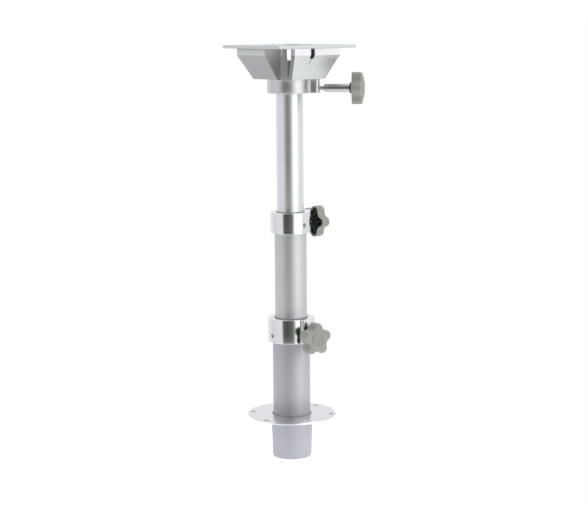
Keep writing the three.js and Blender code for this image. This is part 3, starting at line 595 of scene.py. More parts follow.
def rounded(corners: Sequence[Corner], closed: bool = True) -> list[Vector]:
    """An outline or a profile with its corners rounded.

    Args:
        corners: the sharp corners, each with the radius of its rounding.
        closed: whether the last corner joins the first.

    Returns:
        The points.
    """
    places = [Vector(corner[:2]) for corner in corners]
    points: list[Vector] = []
    for i, corner in enumerate(corners):
        here, radius = places[i], corner[2]
        if radius <= 0 or (not closed and i in (0, len(corners) - 1)):
            points.append(here)
            continue
        before = places[i - 1] - here
        after = places[(i + 1) % len(places)] - here
        half = before.angle(after) / 2
        room = MOST_OF_A_SIDE * min(before.length, after.length)
        reach = min(radius / math.tan(half), room)
        radius = reach * math.tan(half)
        middle = (before.normalized() + after.normalized()).normalized()
        centre = here + middle * (radius / math.sin(half))
        first = here + before.normalized() * reach - centre
        last = here + after.normalized() * reach - centre
        start = math.atan2(first.y, first.x)
        turn = (math.atan2(last.y, last.x) - start + math.pi) % math.tau - math.pi
        points += arc(centre, radius, start, turn, ROUND_STEPS)
    return points


def circle(radius: float, height: float, sides: int) -> Ring:
    """A ring of points around Z."""
    angles = [math.tau * k / sides for k in range(sides)]
    return [Vector((radius * math.cos(a), radius * math.sin(a), height)) for a in angles]


def flat(outline: Sequence[Vector], height: float) -> Ring:
    """An outline placed at a height."""
    return [Vector((p.x, p.y, height)) for p in outline]


def inward(outline: Sequence[Vector], distance: float) -> list[Vector]:
    """An anticlockwise outline moved inward evenly.

    Args:
        outline: the closed outline, anticlockwise.
        distance: how far each side moves.

    Returns:
        The moved corners, in the same order.
    """
    moved = []
    for i, here in enumerate(outline):
        along = outline[(i + 1) % len(outline)] - outline[i - 1]
        moved.append(here + Vector((-along.y, along.x)).normalized() * distance)
    return moved


def like(outline: Sequence[Vector], radius: float, height: float) -> Ring:
    """A circle whose points stand at the same angles as those of an outline."""
    return [Vector((*(p.normalized() * radius), height)) for p in outline]


def loft(rings: Sequence[Ring], wrap: bool = False) -> Shape:
    """A closed skin over rings that have the same number of points.

    Args:
        rings: the rings, in order.
        wrap: joins the last ring to the first; if not, both ends are closed by a fan.

    Returns:
        The shape, with its faces outward.
    """
    shape = bmesh.new()
    made = [[shape.verts.new(p) for p in ring] for ring in rings]
    following = made[1:] + made[:1] if wrap else made[1:]
    for here, there in zip(made, following):
        for i, corner in enumerate(here):
            j = (i + 1) % len(here)
            shape.faces.new((corner, here[j], there[j], there[i]))
    if not wrap:
        for ring in (made[0], made[-1]):
            centre = shape.verts.new(sum((v.co for v in ring), Vector()) / len(ring))
            for i, corner in enumerate(ring):
                shape.faces.new((corner, ring[(i + 1) % len(ring)], centre))
    bmesh.ops.recalc_face_normals(shape, faces=shape.faces)
    return shape


def turned(corners: Sequence[Corner], sides: int = SIDES, hollow: bool = True) -> Shape:
    """A body turned about Z from a profile of radius, height and rounding.

    Args:
        corners: the profile's corners.
        sides: points around.
        hollow: whether the profile closes on itself; if not, its ends lie on flat caps.

    Returns:
        The shape.
    """
    profile = rounded(corners, closed=hollow)
    return loft([circle(p.x, p.y, sides) for p in profile], wrap=hollow)


def bar(radius: float, start: float, end: float, place: Matrix | None = None) -> Shape:
    """A plain round cutter along Z, moved by a matrix.

    Args:
        radius: the cutter's radius.
        start: where it begins on Z.
        end: where it ends on Z.
        place: moves the finished cutter, or None to leave it.

    Returns:
        The cutter.
    """
    shape = loft([circle(radius, start, SMALL_SIDES), circle(radius, end, SMALL_SIDES)])
    if place is not None:
        shape.transform(place)
    return shape


def outward(degrees: float, height: float) -> Matrix:
    """Turns what is made along Z to point outward from the axis, with its Y upright.

    Args:
        degrees: the direction around Z, from +X.
        height: the height above the deck.

    Returns:
        The matrix that places it.
    """
    a = math.radians(degrees)
    across = Vector((-math.sin(a), math.cos(a), 0.0))
    away = Vector((math.cos(a), math.sin(a), 0.0))
    turn = Matrix((across, UP, away)).transposed().to_4x4()
    return Matrix.Translation((0.0, 0.0, height)) @ turn


def around(degrees: float) -> Matrix:
    """A turn about the column's axis."""
    return Matrix.Rotation(math.radians(degrees), 4, "Z")


def joined(*shapes: Shape) -> Shape:
    """Several shapes in one, the first of which is kept.

    Args:
        shapes: the shapes, of which all but the first are freed.

    Returns:
        The first shape, with the others added.
    """
    whole = shapes[0]
    for shape in shapes[1:]:
        mesh = bpy.data.meshes.new("part")
        shape.to_mesh(mesh)
        whole.from_mesh(mesh)
        bpy.data.meshes.remove(mesh)
        shape.free()
    return whole


def as_object(name: str, shape: Shape) -> Piece:
    """A linked object that holds a shape, which is freed.

    Args:
        name: the object's name.
        shape: the shape to hold.

    Returns:
        The linked object.
    """
    mesh = bpy.data.meshes.new(name)
    shape.to_mesh(mesh)
    shape.free()
    made = bpy.data.objects.new(name, mesh)
    bpy.context.scene.collection.objects.link(made)
    return made


def settled(made: Piece) -> Piece:
    """Turns an object's modifiers into a plain mesh.

    Args:
        made: the object, with its modifiers.

    Returns:
        The same object, without modifiers.
    """
    graph = bpy.context.evaluated_depsgraph_get()
    made.data = bpy.data.meshes.new_from_object(made.evaluated_get(graph))
    made.modifiers.clear()
    return made


def cut(made: Piece, *cutters: Shape) -> Piece:
    """Cuts shapes out of an object.

    Args:
        made: the object to cut.
        cutters: the shapes to take away.

    Returns:
        The same object, cut.
    """
    tool = as_object("cutter", joined(*cutters))
    modifier = made.modifiers.new("cut", "BOOLEAN")
    modifier.operation = "DIFFERENCE"
    modifier.solver = "EXACT"
    modifier.object = tool
    settled(made)
    bpy.data.objects.remove(tool)
    return made


def soften(made: Piece, width: float) -> Piece:
    """Rounds an object's crisp edges.

    Args:
        made: the object to round.
        width: the width of the rounding.

    Returns:
        The same object, rounded.
    """
    modifier = made.modifiers.new("soften", "BEVEL")
    modifier.width = width
    modifier.segments = SOFT_STEPS
    modifier.limit_method = "ANGLE"
    modifier.angle_limit = math.radians(SHARP_DEGREES)
    return settled(made)


def mark_edges(mesh: bpy.types.Mesh) -> None:
    """Writes how strongly each vertex lies on an edge, for the wear.

    Args:
        mesh: the mesh that gets the attribute.
    """
    shape = bmesh.new()
    shape.from_mesh(mesh)
    turn = {v.index: 0.0 for v in shape.verts}
    for edge in shape.edges:
        if len(edge.link_faces) == 2:
            angle = math.degrees(edge.calc_face_angle(0.0))
            for corner in edge.verts:
                turn[corner.index] = max(turn[corner.index], min(1.0, angle / WEAR_DEGREES))
    shape.free()
    attribute = mesh.attributes.new(EDGE_ATTRIBUTE, "FLOAT", "POINT")
    attribute.data.foreach_set("value", [turn[i] for i in range(len(mesh.vertices))])


def mark_painted_shade(mesh: bpy.types.Mesh, rule: Callable[[Vector], bool]) -> None:
    """Marks the vertices whose place meets a rule as lying in shade, which a finish paints darker."""
    attribute = mesh.attributes.new(PAINTED_SHADE_ATTRIBUTE, "FLOAT", "POINT")
    attribute.data.foreach_set("value", [float(rule(v.co)) for v in mesh.vertices])


def present(
    made: Piece,
    finish: Finish,
    body: str,
    nodes: Sequence[str],
    place: Matrix | None = None,
) -> None:
    """Finishes a piece, turns it into metres and makes it stand for its CAD nodes.

    Args:
        made: the piece, in millimetres.
        finish: its finish.
        body: the CAD body that it moves with.
        nodes: the CAD nodes that it stands for.
        place: where it goes in the column, in millimetres.
    """
    made.data.transform(Matrix.Scale(MM, 4) @ (place or Matrix()))
    made.data.materials.clear()
    made.data.materials.append(finish.material())
    made.data.shade_smooth()
    made.data.set_sharp_from_angle(angle=math.radians(SHARP_DEGREES))
    mark_edges(made.data)
    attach(made, body)
    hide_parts(*nodes)
    log.info("%s: %d faces, stands for %s", made.name, len(made.data.polygons), ", ".join(nodes))


# ---------------------------------------------------------------- geometry node trees


def geometry_group(
    name: str, inputs: Inputs, fill: Callable[[Graph, Given], Socket]
) -> Tree:
    """A geometry node group whose result is real and carries a material.

    Args:
        name: the group's name.
        inputs: name, socket type and default value of each input but the material.
        fill: builds the tree from a graph and the group's inputs, and returns the geometry.

    Returns:
        The group.
    """

    def finished(graph: Graph, given: Given) -> Sockets:
        """Makes instances real and sets the material."""
        real = graph.node("GeometryNodeRealizeInstances", {0: fill(graph, given)}).outputs[0]
        dressed = {"Geometry": real, "Material": given["Material"]}
        return {"Geometry": graph.node("GeometryNodeSetMaterial", dressed).outputs[0]}

    sockets = [*inputs, ("Material", MATERIAL, None)]
    return node_group(name, "GeometryNodeTree", sockets, [("Geometry", GEOMETRY)], finished)


def tube_tree() -> Tree:
    """A tube around Z: a rounded wall section swept along a circle.

    Returns:
        The group, for a modifier.
    """

    def fill(graph: Graph, given: Given) -> Socket:
        """The section is as wide as the wall and as high as the tube."""
        wall, foot, top = given["Wall"], given["Foot"], given["Top"]
        middle = graph.math("SUBTRACT", given["Outer radius"], graph.math("MULTIPLY", wall, 0.5))
        ring = {"Resolution": given["Sides"], "Radius": middle}
        path = graph.node("GeometryNodeCurvePrimitiveCircle", ring).outputs[0]
        size = {"Width": wall, "Height": graph.math("SUBTRACT", top, foot)}
        section = graph.node("GeometryNodeCurvePrimitiveQuadrilateral", size).outputs[0]
        corner = {"Curve": section, "Radius": given["Rounding"], "Count": given["Round steps"]}
        fillet = graph.node("GeometryNodeFilletCurve", corner, mode="POLY").outputs[0]
        swept = graph.node("GeometryNodeCurveToMesh", {0: path, "Profile Curve": fillet})
        return graph.moved(swept.outputs[0], Z=graph.halfway(foot, top))

    return geometry_group("tube", [
        ("Outer radius", FLOAT, 25.0), ("Wall", FLOAT, 3.0), ("Foot", FLOAT, 0.0),
        ("Top", FLOAT, 100.0), ("Rounding", FLOAT, 0.5), ("Round steps", INTEGER, 3),
        ("Sides", INTEGER, SIDES),
    ], fill)


def thread_tree() -> Tree:
    """A threaded rod along Z: a cylinder whose radius follows a helix.

    Returns:
        The group, for a modifier.
    """

    def fill(graph: Graph, given: Given) -> Socket:
        """Pulls each vertex inward by a wave of its height and its angle."""
        length, pitch, radius = given["Length"], given["Pitch"], given["Radius"]
        turns = graph.math("DIVIDE", length, pitch)
        body = {
            "Vertices": given["Sides"], "Radius": radius, "Depth": length, "Fill Segments": 1,
            "Side Segments": graph.math("CEIL", graph.math("MULTIPLY", turns, given["Steps per turn"])),
        }
        rod = graph.node("GeometryNodeMeshCylinder", body).outputs["Mesh"]
        place = graph.node("GeometryNodeInputPosition").outputs[0]
        split = graph.node("ShaderNodeSeparateXYZ", {0: place}).outputs
        angle = graph.math("DIVIDE", graph.math("ARCTAN2", split["Y"], split["X"]), math.tau)
        run = graph.math("SUBTRACT", graph.math("DIVIDE", split["Z"], pitch), angle)
        wave = graph.math("ABSOLUTE", graph.math("SUBTRACT", graph.math("FRACT", run), 0.5))
        groove = graph.remap(wave, given["Root"], given["Crest"], 0.0, 1.0)
        share = graph.math("DIVIDE", given["Groove depth"], radius)
        scale = graph.math("SUBTRACT", 1.0, graph.math("MULTIPLY", groove, share))
        shrunk = graph.vector("MULTIPLY", place, graph.combine(X=scale, Y=scale, Z=1.0))
        threaded = graph.node("GeometryNodeSetPosition", {0: rod, "Position": shrunk}).outputs[0]
        half = graph.math("MULTIPLY", length, 0.5)
        return graph.moved(threaded, Z=graph.math("ADD", given["Start"], half))

    return geometry_group("thread", [
        ("Radius", FLOAT, 4.0), ("Start", FLOAT, 0.0), ("Length", FLOAT, 40.0),
        ("Pitch", FLOAT, 1.25), ("Groove depth", FLOAT, 0.6), ("Root", FLOAT, 0.08),
        ("Crest", FLOAT, 0.42), ("Sides", INTEGER, 32), ("Steps per turn", INTEGER, 8),
    ], fill)


def fastener_tree() -> Tree:
    """The same screw, grub screw or nut on every vertex, turned to the vertex's facing attribute.

    Returns:
        The group, for a modifier.
    """

    def fill(graph: Graph, given: Given) -> Socket:
        """A head with its recess and a shank, placed as instances."""

        def cylinder(sides: object, radius: object, top: object, length: object) -> Socket:
            """A cylinder along Z that ends at a height."""
            body = {"Vertices": sides, "Radius": radius, "Depth": length}
            made = graph.node("GeometryNodeMeshCylinder", body).outputs["Mesh"]
            return graph.moved(made, Z=graph.math("SUBTRACT", top, graph.math("MULTIPLY", length, 0.5)))

        height, depth = given["Head height"], given["Recess depth"]
        head = cylinder(given["Head sides"], given["Head radius"], 0.0, height)
        lower = graph.math("MULTIPLY", height, -0.5)
        shank = cylinder(SMALL_SIDES, given["Shank radius"], lower, given["Shank length"])
        whole = {0: given["Has shank"], "False": head, "True": graph.united(head, shank)}
        blank = graph.node("GeometryNodeSwitch", whole, input_type="GEOMETRY").outputs[0]
        deep = graph.math("ADD", depth, PAST)
        tool = cylinder(given["Recess sides"], given["Recess radius"], PAST, deep)
        solids = {"Mesh 1": blank, "Mesh 2": tool}
        bored = graph.node("GeometryNodeMeshBoolean", solids, operation="DIFFERENCE", solver="EXACT")
        named = {"Name": FACING_ATTRIBUTE}
        facing = graph.node("GeometryNodeInputNamedAttribute", named, data_type="FLOAT_VECTOR")
        towards = {"Vector": facing.outputs[0]}
        turn = graph.node("FunctionNodeAlignRotationToVector", towards, axis="Z").outputs[0]
        placed = {"Points": given["Places"], "Instance": bored.outputs["Mesh"], "Rotation": turn}
        return graph.node("GeometryNodeInstanceOnPoints", placed).outputs[0]

    return geometry_group("fastener", [
        ("Places", GEOMETRY, None), ("Head sides", INTEGER, SMALL_SIDES),
        ("Head radius", FLOAT, 4.3), ("Head height", FLOAT, 2.6), ("Has shank", BOOLEAN, True),
        ("Shank radius", FLOAT, 2.5), ("Shank length", FLOAT, 12.0), ("Recess sides", INTEGER, 6),
        ("Recess radius", FLOAT, 1.7), ("Recess depth", FLOAT, 1.6),
    ], fill)


def rib_tree() -> Tree:
    """Thin radial ribs, joined into a moulded shell.

    Returns:
        The group, for a modifier.
    """

    def fill(graph: Graph, given: Given) -> Socket:
        """Slabs around Z, united with the shell."""
        low, high = given["Foot"], given["Top"]
        inner, outer = given["Inner radius"], given["Outer radius"]
        long, tall = graph.math("SUBTRACT", outer, inner), graph.math("SUBTRACT", high, low)
        size = {"Size": graph.combine(X=long, Y=given["Thickness"], Z=tall)}
        slab = graph.node("GeometryNodeMeshCube", size).outputs["Mesh"]
        rib = graph.moved(slab, X=graph.halfway(inner, outer), Z=graph.halfway(low, high))
        points = graph.node("GeometryNodePoints", {"Count": given["Count"]}).outputs[0]
        index = graph.node("GeometryNodeInputIndex").outputs[0]
        step = graph.math("MULTIPLY", graph.math("DIVIDE", index, given["Count"]), math.tau)
        turn = graph.combine(Z=graph.math("ADD", step, given["Phase"]))
        placed = {"Points": points, "Instance": rib, "Rotation": turn}
        ribs = graph.node("GeometryNodeInstanceOnPoints", placed).outputs[0]
        real = graph.node("GeometryNodeRealizeInstances", {0: ribs}).outputs[0]
        return graph.united(given["Shell"], real)

    return geometry_group("ribs", [
        ("Shell", GEOMETRY, None), ("Count", INTEGER, 5), ("Phase", FLOAT, 0.0),
        ("Inner radius", FLOAT, 11.0), ("Outer radius", FLOAT, 26.0), ("Foot", FLOAT, 2.0),
        ("Top", FLOAT, 14.0), ("Thickness", FLOAT, 1.4),
    ], fill)


def grown(made: Piece, tree: Tree, finish: Finish, **values: object) -> None:
    """Runs a tree on an object and keeps the result as its mesh.

    Args:
        made: the object; its own mesh is the tree's geometry input, if it has one.
        tree: the geometry node tree.
        finish: the finish that the tree sets.
        values: a value for each other input, with _ for a space in its name.
    """
    modifier = made.modifiers.new(tree.name, "NODES")
    modifier.node_group = tree
    for key, value in {**values, "Material": finish.material()}.items():
        socket = tree.interface.items_tree[key.replace("_", " ")]
        modifier[socket.identifier] = value
    settled(made)


def numbered(name: str, count: int) -> list[str]:
    """The names of several CAD nodes of one kind."""
    return [f"{name}_{k + 1}" for k in range(count)]


def fasteners(
    name: str,
    body: str,
    nodes: Sequence[str],
    places: Sequence[Vector],
    facing: Vector | None = UP,
    softness: float = 0.3,
    **sizes: object,
) -> None:
    """Makes the same screw or nut at several places.

    Args:
        name: the piece's name.
        body: the CAD body that it moves with.
        nodes: the CAD nodes that it stands for.
        places: the middle of each one's outer face.
        facing: the direction for all; if None, each faces straight away from the axis.
        softness: the rounding of its edges.
        sizes: the sizes that differ from the tree's own, with _ for a space in a name.
    """
    shape = bmesh.new()
    for place in places:
        shape.verts.new(place)
    made = as_object(name, shape)
    attribute = made.data.attributes.new(FACING_ATTRIBUTE, "FLOAT_VECTOR", "POINT")
    for value, place in zip(attribute.data, places):
        value.vector = facing or Vector((place.x, place.y, 0.0)).normalized()
    grown(made, fastener_tree(), Finishes.STEEL, **sizes)
    present(soften(made, softness), Finishes.STEEL, body, nodes)


# ---------------------------------------------------------------- the floor socket


@dataclass(frozen=True)
class FloorSocket:
    """The deck flange, the cup below it and the liner in its mouth."""

    flange_fit_r: float = 39.55
    mouth_r: float = 37.35
    seat_z: float = 2.5
    cup_bore_r: float = 35.4
    cup_foot_r: float = 37.0
    cup_floor_z: float = -75.0
    liner_foot_z: float = -14.0
    edge: float = 0.9
    foot_round: float = 3.0
    liner_gap: float = 0.15  # between the lower tube and its liner, less than the cup's
    groove_z: float = -6.5
    groove: float = 0.35
    screws: int = 6
    screw_ring_r: float = 74.0
    screw_start: float = 15.0
    hole_r: float = 3.2
    sink_r: float = 6.8
    sink_foot_z: float = 0.6
    sink_shade_below: float = 0.1  # how far below the top the painted shade in a countersink starts

    def build(self) -> None:
        """Builds the three pieces."""
        self.flange()
        self.cup()
        self.liner()

    def flange(self) -> None:
        """A turned ring with rounded edges and six countersunk holes."""
        box = Extent.of("floor_flange")
        radius, top = box.high.x, box.high.z
        shape = turned([
            (self.flange_fit_r, 0.0, 0.3), (radius, 0.0, 0.3), (radius, top, self.edge),
            (self.mouth_r, top, 0.4), (self.mouth_r, self.seat_z, 0.0),
            (self.flange_fit_r, self.seat_z, 0.0),
        ])
        made = as_object("deck_flange", shape)
        slope = (self.sink_r - self.hole_r) / (top - self.sink_foot_z)
        heights = (-PAST, self.sink_foot_z, top + PAST)
        radii = (self.hole_r, self.hole_r, self.sink_r + slope * PAST)
        cutters, axes = [], []
        for k in range(self.screws):
            angle = math.radians(self.screw_start + 360.0 * k / self.screws)
            cutter = loft([circle(r, z, SMALL_SIDES) for r, z in zip(radii, heights)])
            out = self.screw_ring_r * Vector((math.cos(angle), math.sin(angle), 0.0))
            cutter.transform(Matrix.Translation(out))
            cutters.append(cutter)
            axes.append(out)
        cut(made, *cutters)

        def sunk(place: Vector) -> bool:
            """Whether a place lies in a hole or its countersink."""
            away = min((place - axis).xy.length for axis in axes)
            return place.z < top - self.sink_shade_below and away < self.sink_r

        # The holes and countersinks get painted shade.
        mark_painted_shade(made.data, sunk)
        present(made, Finishes.FLANGE, "floor_socket", ["floor_flange"])

    def cup(self) -> None:
        """A tapered cup with a thin groove below the flange and a rounded foot."""
        box = Extent.of("socket_cup")
        rim, foot, top = box.high.x, box.low.z, box.high.z
        core = self.cup_bore_r / 2
        at = self.groove_z
        wall = rim + (self.cup_foot_r - rim) * at / foot
        shape = turned([
            (core, foot, 0.0), (self.cup_foot_r, foot, self.foot_round),
            (wall, at - self.groove, 0.1), (wall - self.groove, at, 0.1),
            (wall, at + self.groove, 0.1), (rim, 0.0, 0.0),
            (rim, top, 0.2), (self.mouth_r, top, 0.2), (self.mouth_r, self.liner_foot_z, 0.0),
            (self.cup_bore_r, self.liner_foot_z, 0.0), (self.cup_bore_r, self.cup_floor_z, 1.0),
            (core, self.cup_floor_z, 0.0),
        ], hollow=False)
        present(as_object("cup", shape), Finishes.CAST, "floor_socket", ["socket_cup"])

    def liner(self) -> None:
        """A plastic ring that stands just proud of the flange."""
        box = Extent.of("socket_liner")
        outer, low, high = box.high.x, box.low.z, box.high.z
        inner = self.cup_bore_r - self.liner_gap
        shape = turned([
            (inner, low, 0.4), (outer, low, 0.3), (outer, high, 0.5), (inner, high, 0.5),
        ])
        present(as_object("mouth_liner", shape), Finishes.NYLON, "floor_socket", ["socket_liner"])


# ---------------------------------------------------------------- the telescope


@dataclass(frozen=True)
class Collar:
    """A lugged ring around the end of a tube, with what passes through it."""

    body: str
    tube_r: float  # outside of the tube that it closes
    clamped_r: float  # outside of the tube that its screw clamps
    foot: float
    top: float
    wall: float
    lug: float
    lug_half: float
    lug_round: float
    screw_up: float
    turn: float  # degrees, where the lug points
    fillet: float = 3.0
    chamfer: float = 1.0
    hole_r: float = 4.3

    @property
    def radius(self) -> float:
        """The outside of the ring."""
        return self.tube_r + self.wall

    @property
    def reach(self) -> float:
        """The lug's nose, from the axis."""
        return self.radius + self.lug

    @property
    def screw_z(self) -> float:
        """The height of the clamp screw's axis."""
        return self.foot + self.screw_up

    def outline(self) -> list[Vector]:
        """The outline of the ring and its lug on +X, anticlockwise, in short steps.

        Returns:
            The corners of the outline.
        """
        up = self.lug_half + self.fillet
        across = math.sqrt((self.radius + self.fillet) ** 2 - up**2)
        spread = math.atan2(up, across)
        nose, side = self.reach - self.lug_round, self.lug_half - self.lug_round
        quarter = math.pi / 2
        origin = Vector((0.0, 0.0))
        full = math.tau - 2 * spread
        points = [
            *arc(Vector((nose, -side)), self.lug_round, -quarter, quarter, 8),
            *arc(Vector((nose, side)), self.lug_round, 0.0, quarter, 8),
            *arc(Vector((across, up)), self.fillet, -quarter, spread - quarter, 6),
            *arc(origin, self.radius, spread, full, SIDES)[1:-1],
            *arc(Vector((across, -up)), self.fillet, math.pi - spread, spread - quarter, 6),
        ]
        return divided(points, 1.5)

    def skin(self, inside: Sequence[tuple[float, float]], top: float) -> Shape:
        """The outside of the ring from its foot to a height, closed by a bore.

        Args:
            inside: radius and height of the bore's corners, from the top down.
            top: the height of the upper face.

        Returns:
            The shape.
        """
        outline = self.outline()
        edge = [self.chamfer * (1 - math.cos(math.radians(a))) for a in (90, 60, 30, 0)]
        rise = [self.chamfer * (1 - math.sin(math.radians(a))) for a in (90, 60, 30, 0)]
        rings = [flat(inward(outline, e), self.foot + r) for e, r in zip(edge, rise)]
        rings += [flat(inward(outline, e), top - r) for e, r in zip(edge[::-1], rise[::-1])]
        rings += [like(outline, r, z) for r, z in inside]
        return loft(rings, wrap=True)

    def clamp_hole(self, start: float) -> Shape:
        """The cutter of the clamp screw's hole, for a piece whose lug is on +X."""
        return bar(self.hole_r, start, self.reach + PAST, outward(0.0, self.screw_z))


def divided(points: Sequence[Vector], longest: float) -> list[Vector]:
    """A closed outline whose long sides are divided into steps of a longest length.

    Args:
        points: the closed outline.
        longest: the longest step that is left.

    Returns:
        The outline with the added points.
    """
    result: list[Vector] = []
    for i, here in enumerate(points):
        there = points[(i + 1) % len(points)]
        count = max(1, math.ceil((there - here).length / longest))
        result += [here.lerp(there, k / count) for k in range(count)]
    return result


LOWER = Collar(
    "lower_stage", tube_r=35.0, clamped_r=30.0, foot=144.5, top=190.0, wall=9.0,
    lug=8.0, lug_half=10.0, lug_round=3.0, screw_up=13.5, turn=-90.0,
)
UPPER = Collar(
    "middle_stage", tube_r=30.0, clamped_r=25.0, foot=351.0, top=390.0, wall=7.5,
    lug=9.5, lug_half=9.0, lug_round=3.0, screw_up=16.0, turn=7.0,
)
HEAD = Collar(
    "head", tube_r=25.0, clamped_r=25.0, foot=611.4, top=637.8, wall=16.0,
    lug=16.0, lug_half=11.0, lug_round=7.0, screw_up=9.0, turn=-45.0,
)


@dataclass(frozen=True)
class Tube:
    """One tube of the column."""

    node: str
    body: str
    finish: Finish
    holed: Collar | None = None
    wall: float = 3.0
    rounding: float = 0.6

    def build(self) -> None:
        """Sweeps the tube and drills it where a clamp screw passes."""
        box = Extent.of(self.node)
        radius = (box.high.x - box.low.x) / 2
        made = as_object(self.node + "_drawn", bmesh.new())
        grown(
            made, tube_tree(), self.finish, Outer_radius=radius, Wall=self.wall,
            Foot=box.low.z, Top=box.high.z, Rounding=self.rounding, Sides=SIDES,
        )
        if self.holed:
            hole = self.holed.clamp_hole(radius - 2 * self.wall)
            hole.transform(around(self.holed.turn))
            cut(made, hole)
        present(made, self.finish, self.body, [self.node])


@dataclass(frozen=True)
class ClampCollar:
    """A collar with its guide sleeve and its two grub screws."""

    name: str
    collar: Collar
    sleeve_wall: float = 1.45
    slide: float = 0.25
    lip: float = 3.0
    sleeve_flange: float = 1.5
    tube_wall: float = 3.0
    grub_r: float = 4.0
    grub_sink: float = 0.9
    grub_hex: float = 2.3
    grub_depth: float = 3.5

    def build(self) -> None:
        """Builds the ring, the sleeve and the screws."""
        self.ring()
        self.sleeve()
        self.grub_screws()

    def ring(self) -> None:
        """The polished ring with its lug and holes."""
        c = self.collar
        bore, lip = c.tube_r + GAP, c.tube_r - self.tube_wall
        inside = [
            (lip + 0.5, c.top), (lip + 0.15, c.top - 0.15), (lip, c.top - 0.5),
            (lip, c.top - self.lip), (bore, c.top - self.lip), (bore, c.foot),
        ]
        made = as_object(self.name + "_collar_ring", c.skin(inside, c.top))
        holes = [c.clamp_hole(c.tube_r - PAST)]
        for side in (90.0, -90.0):
            place = outward(side, c.screw_z)
            holes.append(bar(self.grub_r + GAP, c.tube_r - PAST, c.radius + PAST, place))
        cut(made, *holes)
        present(made, Finishes.POLISHED, c.body, [self.name + "_collar"], around(c.turn))

    def sleeve(self) -> None:
        """The plastic sleeve inside the tube, whose end shows around the inner tube."""
        c = self.collar
        box = Extent.of(self.name + "_guide_sleeve")
        foot, top = box.low.z, box.high.z
        inner = c.clamped_r + self.slide
        outer = inner + self.sleeve_wall
        seat = c.top - self.lip - SEAT
        wide = outer + GAP + self.tube_wall
        shape = turned([
            (inner, foot, 0.4), (outer, foot, 0.2), (outer, seat - self.sleeve_flange, 0.0),
            (wide, seat - self.sleeve_flange, 0.0), (wide, seat, 0.2), (outer, seat, 0.0),
            (outer, top, 0.3), (inner, top, 0.4),
        ])
        made = as_object(self.name + "_sleeve", shape)
        cut(made, c.clamp_hole(inner - PAST))
        present(made, Finishes.NYLON, c.body, [self.name + "_guide_sleeve"], around(c.turn))

    def grub_screws(self) -> None:
        """The two socket screws, a quarter turn from the knob on each side."""
        c = self.collar
        top = c.radius - self.grub_sink
        angles = [math.radians(c.turn + side) for side in (90.0, -90.0)]
        places = [Vector((top * math.cos(a), top * math.sin(a), c.screw_z)) for a in angles]
        fasteners(
            self.name + "_grub_screws", c.body, numbered(self.name + "_set_screw", 2), places,
            facing=None, softness=0.25, Head_radius=self.grub_r, Has_shank=False,
            Head_height=top - c.tube_r - GAP, Recess_radius=self.grub_hex,
            Recess_depth=self.grub_depth,
        )


@dataclass(frozen=True)
class TubeEnds:
    """The mouldings inside the column: two foot bushes, the foot plug and the top cap."""

    wall: float = 3.0
    plug_wall: float = 3.2
    bush_spigot: float = 8.0
    plug_spigot: float = 14.0
    cap_flange: float = 2.5
    dimple_r: float = 9.0
    dimple: float = 1.5

    def build(self) -> None:
        """Builds the four mouldings."""
        self.bush("middle_foot_bush", UPPER.body, UPPER.tube_r)
        self.bush("upper_foot_bush", "upper_stage", UPPER.clamped_r)
        self.plug()
        self.cap()

    def bush(self, node: str, body: str, tube_r: float) -> None:
        """A flanged bush on the foot of a tube.

        Args:
            node: the bush's node.
            body: the body it moves with.
            tube_r: the outer radius of the tube it sits on.
        """
        box = Extent.of(node)
        low, top, outer = box.low.z, box.high.z, box.high.x
        fit = tube_r - self.wall - GAP
        bore, seat = fit - self.plug_wall, top - self.bush_spigot
        shape = turned([
            (bore, low, 0.3), (outer, low, 0.8), (outer, seat, 0.2), (fit, seat, 0.0),
            (fit, top, 0.5), (bore, top, 0.3),
        ])
        present(as_object(node + "_moulded", shape), Finishes.NYLON, body, [node])

    def plug(self) -> None:
        """The cap under the lower tube."""
        box = Extent.of("lower_tube_plug")
        low, top, outer = box.low.z, box.high.z, box.high.x
        fit = LOWER.tube_r - self.wall - GAP
        bore, seat = fit - self.plug_wall, top - self.plug_spigot
        floor = low + self.plug_wall
        shape = turned([
            (bore / 2, low, 0.0), (outer, low, 0.8), (outer, seat, 0.2), (fit, seat, 0.0),
            (fit, top, 0.5), (bore, top, 0.3), (bore, floor, 1.0), (bore / 2, floor, 0.0),
        ], hollow=False)
        present(as_object("foot_plug", shape), Finishes.BLACK, LOWER.body, ["lower_tube_plug"])

    def cap(self) -> None:
        """The cap in the top of the upper tube, with its dimple."""
        box = Extent.of("upper_tube_cap")
        low, top, outer = box.low.z, box.high.z, box.high.x
        fit, seat = outer - self.wall - GAP, top - self.cap_flange
        dimple_r, floor = self.dimple_r, top - self.dimple
        shape = turned([
            (fit / 2, low, 0.0), (fit, low, 0.8), (fit, seat, 0.0), (outer, seat, 0.2),
            (outer, top, 0.6), (dimple_r, top, 0.5), (dimple_r, floor, 0.5),
            (dimple_r / 2, floor, 0.0),
        ], hollow=False)
        present(as_object("top_cap", shape), Finishes.BLACK, "upper_stage", ["upper_tube_cap"])


# ---------------------------------------------------------------- clamp screws


